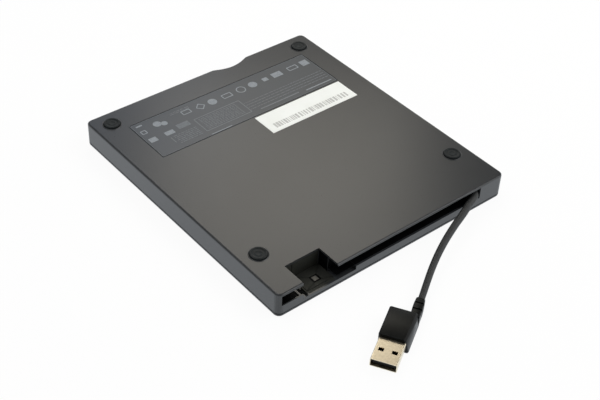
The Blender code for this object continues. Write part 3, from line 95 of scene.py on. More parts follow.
def colourSpread(tree, shader, source, low, high, spread=(0.35, 0.65)):
    ramp = addNode(tree, "ShaderNodeValToRGB", None, {"Fac": source})
    ramp.color_ramp.elements[0].position = spread[0]
    ramp.color_ramp.elements[0].color = hexToLinear(low)
    ramp.color_ramp.elements[1].position = spread[1]
    ramp.color_ramp.elements[1].color = hexToLinear(high)
    tree.links.new(ramp.outputs["Color"], shader.inputs["Base Color"])
    return ramp


def roughnessSpread(tree, shader, source, low, high):
    span = addNode(tree, "ShaderNodeMapRange", {"To Min": low, "To Max": high}, {"Value": source})
    tree.links.new(span.outputs["Result"], shader.inputs["Roughness"])


def bumpFrom(tree, shader, source, height, strength=1.0):
    bump = addNode(tree, "ShaderNodeBump", {"Distance": height, "Strength": strength},
                   {"Height": source})
    tree.links.new(bump.outputs["Normal"], shader.inputs["Normal"])


# Finishes. Grain sizes are real sizes in metres: a texture scale is one over the size.

def mouldedPlastic(name, look):
    # Injection-moulded skin: slow cloudiness of the surface and a fine spark-eroded grain.
    finish, tree, shader, place = newFinish(name)
    cloud = addNode(tree, "ShaderNodeTexNoise", {"Scale": 1 / look["cloud"], "Detail": 3.0},
                    {"Vector": place}).outputs["Fac"]
    grain = addNode(tree, "ShaderNodeTexNoise", {"Scale": 1 / look["grain"], "Detail": 2.0},
                    {"Vector": place}).outputs["Fac"]
    setShader(shader, {"IOR": look.get("ior", 1.5),
                       "Specular IOR Level": look.get("specular", 0.5)})
    colourSpread(tree, shader, cloud, *look["colours"])
    roughnessSpread(tree, shader, grain, *look["roughness"])
    bumpFrom(tree, shader, grain, look["depth"])
    return finish


def rolledMetal(name, look):
    # Rolled or drawn metal: long fine streaks along the grain, on a slowly varying sheen.
    finish, tree, shader, place = newFinish(name)
    streakPlace = stretched(tree, place, look["streak"])
    streak = addNode(tree, "ShaderNodeTexNoise", {"Scale": 1 / look["grain"], "Detail": 3.0},
                     {"Vector": streakPlace}).outputs["Fac"]
    setShader(shader, {"Metallic": 1.0})
    colourSpread(tree, shader, streak, *look["colours"])
    roughnessSpread(tree, shader, streak, *look["roughness"])
    bumpFrom(tree, shader, streak, look["depth"])
    return finish


def zincSheet(name, look):
    # Zinc-coated sheet: flat crystals of slightly different grey with a soft sheen.
    finish, tree, shader, place = newFinish(name)
    crystal = addNode(tree, "ShaderNodeTexVoronoi", {"Scale": 1 / look["crystal"]},
                      {"Vector": place})
    tone = addNode(tree, "ShaderNodeSeparateColor", None, {"Color": crystal.outputs["Color"]})
    setShader(shader, {"Metallic": 1.0})
    colourSpread(tree, shader, tone.outputs["Red"], *look["colours"], spread=(0.0, 1.0))
    roughnessSpread(tree, shader, tone.outputs["Green"], *look["roughness"])
    fine = addNode(tree, "ShaderNodeTexNoise", {"Scale": 1 / look["grain"]}, {"Vector": place})
    bumpFrom(tree, shader, fine.outputs["Fac"], look["depth"])
    return finish


def solderMask(name, look):
    # Board laminate under green lacquer: copper tracks show as paler lines beneath it.
    finish, tree, shader, place = newFinish(name)
    tracks = addNode(tree, "ShaderNodeTexBrick",
                     {"Scale": 1 / look["track"], "Mortar Size": look["line"],
                      "Mortar Smooth": look["lineBlur"], "Color1": hexToLinear(look["mask"]),
                      "Color2": hexToLinear(look["pour"]), "Mortar": hexToLinear(look["copper"]),
                      "Brick Width": look["run"], "Row Height": look["row"]}, {"Vector": place})
    tree.links.new(tracks.outputs["Color"], shader.inputs["Base Color"])
    setShader(shader, {"Roughness": 0.32, "Coat Weight": 0.4, "Coat Roughness": 0.15})
    bumpFrom(tree, shader, tracks.outputs["Fac"], look["depth"])
    return finish


# The wave texture runs through this many radians in one unit of its scale.
waveRate = 20


def stripedFilm(name, look):
    # Polyimide ribbon: parallel copper lines seen through amber film.
    finish, tree, shader, place = newFinish(name)
    lines = addNode(tree, "ShaderNodeTexWave",
                    {"Scale": 1 / look["pitch"] / waveRate, "wave_profile": "TRI",
                     "bands_direction": "X"},
                    {"Vector": stretched(tree, place, (waveRate / math.pi, 0.0, 0.0))})
    colourSpread(tree, shader, lines.outputs["Fac"], *look["colours"])
    setShader(shader, {"Roughness": 0.3, "Coat Weight": 0.5, "Coat Roughness": 0.1})
    return finish


def woundWire(name, look):
    # Enamelled copper wire laid in turns side by side.
    finish, tree, shader, place = newFinish(name)
    turns = addNode(tree, "ShaderNodeTexWave",
                    {"Scale": 1 / look["wire"] / waveRate, "bands_direction": "X"},
                    {"Vector": stretched(tree, place, (waveRate / math.pi, 0.0, 0.0))})
    colourSpread(tree, shader, turns.outputs["Fac"], *look["colours"])
    setShader(shader, {"Metallic": 0.8, "Roughness": 0.3})
    bumpFrom(tree, shader, turns.outputs["Fac"], look["wire"] / 3)
    return finish


def clearPlastic(name, look):
    # Clear or frosted moulding with a thin coating's tint.
    finish, tree, shader, place = newFinish(name)
    haze = addNode(tree, "ShaderNodeTexNoise", {"Scale": 1 / look["grain"]}, {"Vector": place})
    colourSpread(tree, shader, haze.outputs["Fac"], *look["colours"])
    setShader(shader, {"Transmission Weight": look["transmission"], "IOR": look["ior"],
                       "Coat Weight": 0.3})
    roughnessSpread(tree, shader, haze.outputs["Fac"], *look["roughness"])
    return finish


finishes = {
    "case_plastic": mouldedPlastic("mouldedAbsUnderside", {
        "colours": ("#282a2c", "#2d2f31"), "cloud": 60 * mm, "grain": 0.5 * mm,
        "roughness": (0.26, 0.31), "depth": 0.005 * mm}),
    "lid_plastic": mouldedPlastic("mouldedAbsCover", {
        "colours": ("#131518", "#181a1d"), "cloud": 50 * mm, "grain": 0.4 * mm,
        "roughness": (0.34, 0.4), "depth": 0.004 * mm, "specular": 0.3}),
    "bezel_plastic": mouldedPlastic("mouldedAbsBezel", {
        "colours": ("#232629", "#282b2e"), "cloud": 30 * mm, "grain": 0.4 * mm,
        "roughness": (0.3, 0.38), "depth": 0.005 * mm}),
    "foot_rubber": mouldedPlastic("siliconeRubber", {
        "colours": ("#141819", "#1b2021"), "cloud": 4 * mm, "grain": 0.3 * mm,
        "roughness": (0.42, 0.54), "depth": 0.012 * mm, "ior": 1.43, "specular": 0.25}),
    "panel_film": mouldedPlastic("printedPolyesterFilm", {
        "colours": ("#2b3137", "#31373e"), "cloud": 40 * mm, "grain": 0.35 * mm,
        "roughness": (0.32, 0.37), "depth": 0.004 * mm, "specular": 0.58}),
    "label_paper": mouldedPlastic("whitePaperLabel", {
        "colours": ("#eceee9", "#f1f3ef"), "cloud": 12 * mm, "grain": 0.25 * mm,
        "roughness": (0.6, 0.7), "depth": 0.006 * mm}),
    # The catch's acetal is coloured darker than the lever's: painted shade of the pocket floor it
    # sits in.
    "catch_plastic": mouldedPlastic("acetalCatchPaintedShade", {
        "colours": ("#56544e", "#625f58"), "cloud": 3 * mm, "grain": 0.3 * mm,
        "roughness": (0.35, 0.45), "depth": 0.006 * mm, "ior": 1.48}),
    "lever_plastic": mouldedPlastic("naturalAcetalLever", {
        "colours": ("#c9c6ba", "#d5d2c8"), "cloud": 5 * mm, "grain": 0.3 * mm,
        "roughness": (0.35, 0.45), "depth": 0.006 * mm, "ior": 1.48}),
    "tray_plastic": mouldedPlastic("mouldedPpeTray", {
        "colours": ("#26282b", "#2c2e31"), "cloud": 25 * mm, "grain": 0.35 * mm,
        "roughness": (0.42, 0.52), "depth": 0.01 * mm}),
    "chip_epoxy": mouldedPlastic("epoxyChipBody", {
        "colours": ("#1c1d1f", "#242527"), "cloud": 2 * mm, "grain": 0.15 * mm,
        "roughness": (0.45, 0.6), "depth": 0.008 * mm, "ior": 1.55}),
    "connector_nylon": mouldedPlastic("mouldedNylonConnector", {
        "colours": ("#0b0b0c", "#111112"), "cloud": 4 * mm, "grain": 0.2 * mm,
        "roughness": (0.45, 0.55), "depth": 0.006 * mm, "ior": 1.53, "specular": 0.3}),
    "holder_plastic": mouldedPlastic("blackLensHolder", {
        "colours": ("#151617", "#1d1e1f"), "cloud": 3 * mm, "grain": 0.2 * mm,
        "roughness": (0.4, 0.5), "depth": 0.006 * mm}),
    "cord_rubber": mouldedPlastic("softPvcJacket", {
        "colours": ("#111313", "#171919"), "cloud": 9 * mm, "grain": 0.35 * mm,
        "roughness": (0.56, 0.66), "depth": 0.012 * mm, "specular": 0.62}),
    "plug_rubber": mouldedPlastic("softPvcOvermould", {
        "colours": ("#070807", "#0c0e0d"), "cloud": 5 * mm, "grain": 0.3 * mm,
        "roughness": (0.28, 0.36), "depth": 0.01 * mm, "specular": 0.14}),
    "pan_steel": zincSheet("zincCoatedSheet", {
        "colours": ("#a2a4a4", "#acaeae"), "crystal": 3.5 * mm, "grain": 0.2 * mm,
        "roughness": (0.36, 0.44), "depth": 0.002 * mm}),
    "bright_steel": rolledMetal("brightDrawnSteel", {
        "colours": ("#b9b9b7", "#cfcfcd"), "streak": (6.0, 0.5, 6.0), "grain": 0.9 * mm,
        "roughness": (0.18, 0.3), "depth": 0.002 * mm}),
    "shroud_alloy": rolledMetal("satinAluminiumSheet", {
        "colours": ("#a3a5a8", "#b7b9bc"), "streak": (3.0, 3.0, 1.0), "grain": 0.8 * mm,
        "roughness": (0.35, 0.45), "depth": 0.003 * mm}),
    "sled_alloy": rolledMetal("dieCastZinc", {
        "colours": ("#8f9194", "#a9abad"), "streak": (1.0, 1.0, 1.0), "grain": 1.2 * mm,
        "roughness": (0.4, 0.55), "depth": 0.02 * mm}),
    "shell_nickel": rolledMetal("nickelPlatedShell", {
        "colours": ("#cdc2ab", "#dcd1ba"), "streak": (2.0, 2.0, 2.0), "grain": 2.5 * mm,
        "roughness": (0.26, 0.36), "depth": 0.002 * mm}),
    "board_laminate": solderMask("greenSolderMask", {
        "mask": "#1d4a2c", "pour": "#225334", "copper": "#3b6f45", "track": 3.2 * mm,
        "line": 0.16, "lineBlur": 0.2, "run": 1.9, "row": 0.55, "depth": 0.01 * mm}),
    "flex_film": stripedFilm("polyimideRibbon", {
        "colours": ("#8a5a24", "#d2a364"), "pitch": 0.5 * mm}),
    "coil_wire": woundWire("enamelledCopperWire", {
        "colours": ("#5e2a14", "#b06a3c"), "wire": 0.35 * mm}),
    "lens_glass": clearPlastic("coatedLens", {
        "colours": ("#c6d0f0", "#d8e0f8"), "grain": 3 * mm, "transmission": 0.9, "ior": 1.52,
        "roughness": (0.02, 0.05)}),
    "light_plastic": clearPlastic("frostedLightPipe", {
        "colours": ("#dfe8da", "#eef4ea"), "grain": 0.4 * mm, "transmission": 0.6, "ior": 1.49,
        "roughness": (0.3, 0.45)}),
}
slotOf = {entry["node"]: entry["material_slot"] for entry in frame["record"]["subparts"]}
for nodeName, node in frameNodes.items():
    node.data.materials.clear()
    node.data.materials.append(finishes[slotOf[nodeName]])
print("finishes on the frame:", len(finishes))


# Camera, solved from the housing's corners in the photograph

cameraLook = {
    "place": (311.142 * mm, 362.628 * mm, 383.039 * mm),
    "right": (-0.77247216, 0.63377614, 0.04018162),
    "up": (-0.38606878, -0.51891059, 0.76268125),
    "back": (0.50421985, 0.57363716, 0.64552517),
    "lens": 70.96,
    "sensor": 36.0,
}


def makeCamera(look):
    data = bpy.data.cameras.new("photoCamera")
    data.lens = look["lens"]
    data.sensor_width = look["sensor"]
    data.clip_start = 0.01
    data.clip_end = 20.0
    camera = bpy.data.objects.new("photoCamera", data)
    turn = Matrix((look["right"], look["up"], look["back"])).transposed()
    camera.matrix_world = Matrix.Translation(look["place"]) @ turn.to_4x4()
    bpy.context.scene.collection.objects.link(camera)
    bpy.context.scene.camera = camera


makeCamera(cameraLook)


# Making and placing pieces

def addPiece(name, data, body, slot, replaced=()):
    piece = bpy.data.objects.new(name, data)
    bpy.context.scene.collection.objects.link(piece)
    if slot:
        data.materials.append(finishes[slot])
    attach(piece, body)
    if replaced:
        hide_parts(*replaced)
    return piece


def meshFrom(name, bm, smoothAngle=None):
    bmesh.ops.recalc_face_normals(bm, faces=bm.faces)
    mesh = bpy.data.meshes.new(name)
    bm.to_mesh(mesh)
    bm.free()
    if smoothAngle:
        mesh.shade_smooth()
        mesh.set_sharp_from_angle(angle=math.radians(smoothAngle))
    return mesh


def smoothRoute(route, spacing):
    # Catmull-Rom through given points, read at even steps.
    places = [Vector(p) for p in route]
    ends = [places[0] * 2 - places[1]] + places + [places[-1] * 2 - places[-2]]
    fine = []
    for a, b, c, d in zip(ends, ends[1:], ends[2:], ends[3:]):
        for step in range(40):
            t = step / 40
            fine.append((b * 2 + (c - a) * t + (a * 2 - b * 5 + c * 4 - d) * t ** 2
                         + (b * 3 - a - c * 3 + d) * t ** 3) / 2)
    fine.append(places[-1])
    lengths = [0.0]
    for a, b in zip(fine, fine[1:]):
        lengths.append(lengths[-1] + (b - a).length)
    count = max(2, round(lengths[-1] / spacing))
    points = []
    index = 0
    for k in range(count + 1):
        wanted = lengths[-1] * k / count
        while index < len(fine) - 2 and lengths[index + 1] < wanted:
            index += 1
        share = (wanted - lengths[index]) / (lengths[index + 1] - lengths[index])
        points.append(fine[index].lerp(fine[index + 1], share))
    return points, lengths[-1]


def prism(bm, outline, low, high):
    # A closed plate on an outline of XY points.
    below = [bm.verts.new((x, y, low)) for x, y in outline]
    above = [bm.verts.new((x, y, high)) for x, y in outline]
    bm.faces.new(below)
    bm.faces.new(above)
    for i in range(len(outline)):
        k = (i + 1) % len(outline)
        bm.faces.new((below[i], below[k], above[k], above[i]))


def ringPrism(bm, outer, inner, low, high):
    rows = [[bm.verts.new((x, y, z)) for x, y in outline]
            for outline, z in ((outer, low), (outer, high), (inner, high), (inner, low))]
    for a, b in zip(rows, rows[1:] + rows[:1]):
        for i in range(len(outer)):
            k = (i + 1) % len(outer)
            bm.faces.new((a[i], a[k], b[k], b[i]))


def roundedOutline(centre, size, corner, steps=4):
    outline = []
    for sx, sy, start in ((1, 1, 0), (-1, 1, 90), (-1, -1, 180), (1, -1, 270)):
        for step in range(steps + 1):
            angle = math.radians(start + 90 * step / steps)
            outline.append((centre[0] + sx * (size[0] / 2 - corner) + corner * math.cos(angle),
                            centre[1] + sy * (size[1] / 2 - corner) + corner * math.sin(angle)))
    return outline


def roundOutline(centre, radius, steps=32):
    return [(centre[0] + radius * math.cos(2 * math.pi * i / steps),
             centre[1] + radius * math.sin(2 * math.pi * i / steps)) for i in range(steps)]


def turnedMesh(name, profile, steps, smoothAngle):
    # Profile of (radius, height) pairs that starts and ends on the axis.
    bm = bmesh.new()
    rings = []
    for radius, z in profile:
        if radius == 0:
            rings.append([bm.verts.new((0, 0, z))])
        else:
            rings.append([bm.verts.new((x, y, z)) for x, y in roundOutline((0, 0), radius, steps)])
    for a, b in zip(rings, rings[1:]):
        for i in range(steps):
            k = (i + 1) % steps
            corners = [a[i % len(a)], a[k % len(a)], b[k % len(b)], b[i % len(b)]]
            kept = [c for n, c in enumerate(corners) if c not in corners[:n]]
            bm.faces.new(kept)
    return meshFrom(name, bm, smoothAngle)


def sweptTube(bm, points, radii, steps):
    # Round tube with a radius for each point, closed at both ends.
    rings = []
    for i, point in enumerate(points):
        way = (points[min(i + 1, len(points) - 1)] - points[max(i - 1, 0)]).normalized()
        across = way.cross(Vector((0, 0, 1))).normalized()
        over = across.cross(way)
        rings.append([bm.verts.new(point + radii[i] * (across * math.cos(2 * math.pi * k / steps)
                                                       + over * math.sin(2 * math.pi * k / steps)))
                      for k in range(steps)])
    for a, b in zip(rings, rings[1:]):
        for k in range(steps):
            m = (k + 1) % steps
            bm.faces.new((a[k], a[m], b[m], b[k]))
    bm.faces.new(rings[0])
    bm.faces.new(rings[-1])


# Feet: turned silicone with a full round rim, a dished face and a fine moulding ring

footLook = {
    "radius": 4.4 * mm,
    "low": 13.5 * mm,
    "high": 15.0 * mm,
    "rimRound": 0.5 * mm,
    "dishRadius": 2.9 * mm,
    "dishDepth": 0.25 * mm,
    "dishSlope": 1.6,
    "ringRadius": 1.6 * mm,
    "ringWidth": 0.4 * mm,
    "ringHeight": 0.05 * mm,
    "curveSteps": 8,
    "dishSteps": 6,
    "steps": 72,
}


def makeFeet(look):
    rim = look["rimRound"]
    dish = look["high"] - look["dishDepth"]
    profile = [(0, dish)]
    for step in range(look["curveSteps"] + 1):
        share = step / look["curveSteps"]
        profile.append((look["ringRadius"] + (share - 0.5) * look["ringWidth"],
                        dish + look["ringHeight"] * math.sin(math.pi * share)))
    for step in range(look["dishSteps"] + 1):
        share = step / look["dishSteps"]
        profile.append((look["dishRadius"] + look["dishDepth"] * look["dishSlope"] * share,
                        dish + look["dishDepth"] * (1 - math.cos(math.pi * share)) / 2))
    for step in range(look["curveSteps"] + 1):
        angle = math.radians(90 * step / look["curveSteps"])
        profile.append((look["radius"] - rim + rim * math.sin(angle),
                        look["high"] - rim + rim * math.cos(angle)))
    profile += [(look["radius"], look["low"]), (0, look["low"])]
    for number in range(1, 5):
        old = f"rubber_foot_{number}"
        low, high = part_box(old)
        mesh = turnedMesh(f"foot{number}", profile, look["steps"], 40)
        mesh.transform(Matrix.Translation(((low[0] + high[0]) / 2, (low[1] + high[1]) / 2, 0)))
        addPiece(f"foot{number}", mesh, "housing", "foot_rubber", [old])


makeFeet(footLook)
print("feet made")


# Foot seats: a low moulded lip round each foot

seatLook = {
    "inner": 4.45 * mm,
    "outer": 5.1 * mm,
    "base": 13.98 * mm,
    "height": 0.24 * mm,
    "curveSteps": 6,
    "steps": 72,
}


def makeFootSeats(look):
    bm = bmesh.new()
    for number in range(1, 5):
        low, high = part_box(f"rubber_foot_{number}")
        centre = ((low[0] + high[0]) / 2, (low[1] + high[1]) / 2)
        rows = []
        for step in range(look["curveSteps"] + 1):
            share = step / look["curveSteps"]
            radius = look["inner"] + (look["outer"] - look["inner"]) * share
            z = look["base"] + look["height"] * math.sin(math.pi * share)
            rows.append([bm.verts.new((x, y, z))
                         for x, y in roundOutline(centre, radius, look["steps"])])
        for a, b in zip(rows, rows[1:] + rows[:1]):
            for i in range(look["steps"]):
                k = (i + 1) % look["steps"]
                bm.faces.new((a[i], a[k], b[k], b[i]))
    addPiece("footSeats", meshFrom("footSeats", bm, 50), "housing", "case_plastic")


makeFootSeats(seatLook)


# Plug pocket: matt spark-eroded faces whose darker colour is painted shade, a raised floor with the
# catch's well, and one more rib; near-black sheets of painted shade in the recesses

paintedShadeFinishes = {
    # Matt spark-eroded faces of the pocket, coloured darker than the case as painted shade of the
    # pocket.
    "mattAndShade": mouldedPlastic("sparkErodedPaintedShade", {
        "colours": ("#1d1e1a", "#24251f"), "cloud": 8 * mm, "grain": 0.35 * mm,
        "roughness": (0.55, 0.68), "depth": 0.02 * mm, "specular": 0.3}),
    # Near-black painted shade for the recesses that lie in full shade.
    "dark": mouldedPlastic("deepRecessShade", {
        "colours": ("#030404", "#060607"), "cloud": 8 * mm, "grain": 0.3 * mm,
        "roughness": (0.5, 0.6), "depth": 0.01 * mm, "specular": 0.06}),
}

pocketLook = {
    # Blocks: low and high X, Y and Z, then the corner, in mm
    "floor": ((37.9, 53.5), (66.75, 77.7), (4.28, 4.75), 0.25),
    "rib": ((54.3, 55.1), (74.8, 79.6), (4.28, 5.6), 0.15),
    "lip": ((38.1, 53.4), (77.8, 79.4), (4.28, 4.36), 0.1),
    "floorRim": 0.08 * mm,
    "ribRim": 0.12 * mm,
    # Openings: centre, size and corner in mm
    "well": ((45.3, 73.6), (4.6, 4.3), 0.3),
    "catchHole": ((44.8, 73.0), (3.3, 3.3), 0.3),
    "wellShade": (4.28, 4.34),
    # Near-black sheets of painted shade on the floors and walls of the recesses that lie in full
    # shade
    "dark": [((55.4, 58.2), (72.0, 79.1), (4.28, 4.36), 0.1),
             ((26.1, 37.3), (73.2, 79.3), (6.38, 6.47), 0.1),
             ((-50.0, 25.9), (74.3, 79.2), (6.38, 6.47), 0.1),
             ((60.2, 70.1), (70.0, 79.2), (5.88, 6.78), 0.1),
             ((53.45, 53.8), (66.36, 66.46), (4.9, 12.6), 0.03),
             ((26.2, 37.3), (73.02, 73.1), (6.5, 12.75), 0.02),
             ((-50.0, 26.0), (74.12, 74.2), (6.5, 12.75), 0.02)],
    "lipStep": ((56.9, 58.6), (79.2, 80.22), (4.28, 5.85), 0.05),
    "farWall": ((37.9, 57.9), (66.34, 66.4), (4.3, 12.75), 0.02),
    "sideWall": ((37.48, 37.54), (66.6, 72.8), (4.3, 12.75), 0.02),
}


def blockOutline(block, steps):
    (x0, x1), (y0, y1), height, corner = block
    return roundedOutline(((x0 + x1) / 2 * mm, (y0 + y1) / 2 * mm),
                          ((x1 - x0) * mm, (y1 - y0) * mm), corner * mm, steps)


def holeOutline(hole):
    centre, size, corner = hole
    return roundedOutline([c * mm for c in centre], [s * mm for s in size], corner * mm)


def trimBlock(bm, block):
    prism(bm, blockOutline(block, 3), block[2][0] * mm, block[2][1] * mm)


def softened(bm, width):
    # Rounds the upper rims so that they catch light as moulded edges do.
    top = max(v.co.z for v in bm.verts)
    rims = [e for e in bm.edges if all(v.co.z > top - width / 10 for v in e.verts)]
    bmesh.ops.bevel(bm, geom=rims, offset=width, segments=2, profile=0.5, affect="EDGES")


def makePocket(look):
    floor = bmesh.new()
    z0, z1 = look["floor"][2]
    ringPrism(floor, blockOutline(look["floor"], 4), holeOutline(look["well"]), z0 * mm, z1 * mm)
    softened(floor, look["floorRim"])
    rib = bmesh.new()
    trimBlock(rib, look["rib"])
    softened(rib, look["ribRim"])
    lip = bmesh.new()
    trimBlock(lip, look["lip"])
    walls = bmesh.new()
    trimBlock(walls, look["farWall"])
    shade = bmesh.new()
    for block in look["dark"] + [look["sideWall"]]:
        trimBlock(shade, block)
    # The ring round the catch's hole is painted shade of its well.
    z0, z1 = look["wellShade"]
    ringPrism(shade, holeOutline(look["well"]), holeOutline(look["catchHole"]), z0 * mm, z1 * mm)
    edges = bmesh.new()
    trimBlock(edges, look["lipStep"])
    addPiece("pocketEdges", meshFrom("pocketEdges", edges, 40), "housing", "case_plastic")
    # Floor, rib, lip and far wall take the matt finish with painted shade; the recess sheets take
    # the near-black painted shade.
    for name, bm, finish in (("pocketFloor", floor, "mattAndShade"), ("slotRib", rib, "mattAndShade"),
                             ("pocketLip", lip, "mattAndShade"), ("pocketWall", walls, "mattAndShade"),
                             ("recessShade", shade, "dark")):
        piece = addPiece(name, meshFrom(name, bm), "housing", None)
        piece.data.materials.append(paintedShadeFinishes[finish])


makePocket(pocketLook)
print("foot seats and pocket made")


# Rating panel: a raised film edge, plain grey marks in the places of the printed ones, and a ring
# of painted shade in the groove round the film

def inkFinish(name, look):
    # Screen-printed ink: a flat tone broken by pinholes of the film's grain.
    finish, tree, shader, place = newFinish(name)
    speck = addNode(tree, "ShaderNodeTexNoise", {"Scale": 1 / look["speck"], "Detail": 2.0},
                    {"Vector": place}).outputs["Fac"]
    colourSpread(tree, shader, speck, *look["colours"], spread=(0.3, 0.5))
    setShader(shader, {"Roughness": look["roughness"]})
    return finish


inks = {
    "strong": inkFinish("screenInkPale", {"colours": ("#6f757a", "#878d92"), "speck": 0.6 * mm,
                                          "roughness": 0.55}),
    "faint": inkFinish("screenInkFaint", {"colours": ("#51565b", "#666b70"), "speck": 0.6 * mm,
                                          "roughness": 0.5}),
    "bars": inkFinish("thermalInkGrey", {"colours": ("#b4b4b0", "#c0c0bc"), "speck": 0.8 * mm,
                                         "roughness": 0.7}),
}

printLook = {
    "base": 14.0 * mm,
    "thick": 0.02 * mm,
    "corner": 0.25 * mm,
    "ringWall": 0.55 * mm,
    "film": ((-0.9, -47.7), (115.0, 30.9)),
    "filmCorner": 1.0 * mm,
    "filmEdge": 0.25 * mm,
    "paintedGrooveShade": 0.3 * mm,
    # kind, X, Y, width, height in mm, turn in degrees
    "strong": [
        ("block", 52.6, -60.6, 3.6, 1.1, 0),
        ("frame", 53.3, -54.7, 3.2, 3.2, 0),
        ("block", 52.8, -46.8, 4.4, 3.6, 0),
        ("block", 42.7, -46.9, 5.4, 3.2, 0),
        ("disc", 43.8, -56.8, 4.6, 4.6, 0),
        ("disc", 40.4, -55.2, 3.6, 3.6, 0),
        ("frame", 25.5, -56.7, 5.6, 3.6, 0),
        ("frame", 16.6, -56.2, 4.2, 4.2, 45),
        ("disc", 9.0, -56.0, 5.2, 5.2, 0),
        ("frame", -0.7, -56.0, 6.2, 3.8, 0),
        ("ring", -10.1, -56.0, 5.6, 5.6, 0),
        ("disc", -18.1, -56.0, 5.2, 5.2, 0),
        ("block", -26.7, -56.0, 3.4, 3.0, 0),
        ("block", -34.9, -56.0, 6.4, 4.2, 0),
        ("frame", -46.0, -56.0, 6.6, 3.6, 0),
        ("block", -54.4, -56.0, 4.8, 4.8, 0),
        ("block", -47.4, -34.7, 18.0, 0.7, 0),
        ("block", 19.6, -32.9, 13.0, 0.5, 0),
    ],
    "faint": [
        ("block", 33.2, -48.3, 7.4, 4.0, 0),
        ("frame", 11.8, -42.6, 29.6, 12.6, 0),
        ("block", -21.0, -35.6, 26.0, 0.8, 0),
        ("block", 44.6, -40.6, 0.5, 5.0, 0),
    ],
    # X and Y span of lines of dashes, their height and pitch in mm
    "dashes": [
        ((0.5, 24.5), (-47.2, -37.9), 0.45, 1.15),
        ((29.0, 43.0), (-43.0, -36.0), 0.5, 1.3),
        ((-57.0, -3.6), (-44.6, -38.0), 0.4, 2.1),
        ((22.0, 34.0), (-60.2, -59.0), 0.4, 1.2),
    ],
    "dashLength": (0.8, 3.2),
    "seed": 11,
}


def turnOutline(outline, centre, degrees):
    c, s = math.cos(math.radians(degrees)), math.sin(math.radians(degrees))
    return [(centre[0] + (x - centre[0]) * c - (y - centre[1]) * s,
             centre[1] + (x - centre[0]) * s + (y - centre[1]) * c) for x, y in outline]


def addMark(bm, mark, look):
    kind, x, y, width, height, degrees = mark
    centre, size = (x * mm, y * mm), (width * mm, height * mm)
    low, high = look["base"], look["base"] + look["thick"]
    wall = look["ringWall"]
    small = (size[0] - 2 * wall, size[1] - 2 * wall)
    if kind == "disc":
        prism(bm, roundOutline(centre, size[0] / 2), low, high)
    elif kind == "ring":
        ringPrism(bm, roundOutline(centre, size[0] / 2), roundOutline(centre, small[0] / 2),
                  low, high)
    elif kind == "frame":
        outer = roundedOutline(centre, size, look["corner"] * 2)
        inner = roundedOutline(centre, small, look["corner"])
        ringPrism(bm, turnOutline(outer, centre, degrees), turnOutline(inner, centre, degrees),
                  low, high)
    else:
        prism(bm, turnOutline(roundedOutline(centre, size, look["corner"]), centre, degrees),
              low, high)


def makePrint(look):
    chance = random.Random(look["seed"])
    strong = bmesh.new()
    for mark in look["strong"]:
        addMark(strong, mark, look)
    faint = bmesh.new()
    for mark in look["faint"]:
        addMark(faint, mark, look)
    for (x0, x1), (y0, y1), height, pitch in look["dashes"]:
        y = y0
        while y <= y1:
            x = x0
            while x < x1:
                length = min(chance.uniform(*look["dashLength"]), x1 - x)
                if length > height:
                    addMark(faint, ("block", x + length / 2, y, length, height, 0),
                            {**look, "corner": height / 3 * mm})
                x += length + height
            y += pitch
    for name, bm, ink in (("ratingMarks", strong, "strong"), ("ratingRows", faint, "faint")):
        piece = addPiece(name, meshFrom(name, bm), "housing", None)
        piece.data.materials.append(inks[ink])
    centre, size = look["film"]
    centre, size = [c * mm for c in centre], [c * mm for c in size]
    edge = bmesh.new()
    inside = [c - 2 * look["filmEdge"] for c in size]
    ringPrism(edge, roundedOutline(centre, size, look["filmCorner"]),
              roundedOutline(centre, inside, look["filmCorner"] - look["filmEdge"]),
              look["base"], look["base"] + look["thick"])
    piece = addPiece("filmEdge", meshFrom("filmEdge", edge), "housing", None)
    piece.data.materials.append(inks["faint"])
    # A thin near-black ring round the film: painted shade of the groove between the film and its
    # recess.
    grooveShade = bmesh.new()
    outside = [c + 2 * look["paintedGrooveShade"] for c in size]
    ringPrism(grooveShade, roundedOutline(centre, outside, look["filmCorner"] + look["paintedGrooveShade"]),
              roundedOutline(centre, size, look["filmCorner"]), look["base"],
              look["base"] + look["thick"] / 2)
    piece = addPiece("paintedGrooveShade", meshFrom("paintedGrooveShade", grooveShade), "housing", None)
    piece.data.materials.append(paintedShadeFinishes["dark"])


makePrint(printLook)


# Sticker: a row of plain bars of varied width along one long side

stickerLook = {
    "base": 14.05 * mm,
    "thick": 0.02 * mm,
    "x": (-54.0, -5.0),
    "y": (-21.4, -17.4),
    "bar": (0.35, 1.5),
    "space": (0.35, 1.0),
    "corner": 0.05 * mm,
    "seed": 5,
}


def makeStickerBars(look):
    chance = random.Random(look["seed"])
    bm = bmesh.new()
    x = look["x"][0]
    middle = sum(look["y"]) / 2 * mm
    height = (look["y"][1] - look["y"][0]) * mm
    while x < look["x"][1]:
        width = chance.uniform(*look["bar"])
        outline = roundedOutline(((x + width / 2) * mm, middle), (width * mm, height),
                                 look["corner"], 2)
        prism(bm, outline, look["base"], look["base"] + look["thick"])
        x += width + chance.uniform(*look["space"])
    piece = addPiece("stickerBars", meshFrom("stickerBars", bm), "housing", None)
    piece.data.materials.append(inks["bars"])


makeStickerBars(stickerLook)
print("print and sticker made")


# Cord: free from the gland's sleeve to the plug's boot

plugPlace = {"origin": (45.4 * mm, 126.0 * mm, 0.0), "turn": math.radians(31.0),
             "middle": 3.9 * mm}
plugFrame = Matrix.Translation(plugPlace["origin"]) @ Matrix.Rotation(plugPlace["turn"], 4, "Z")

# Plug: moulded body with a ribbed boot, folded shell, tongue and its contacts

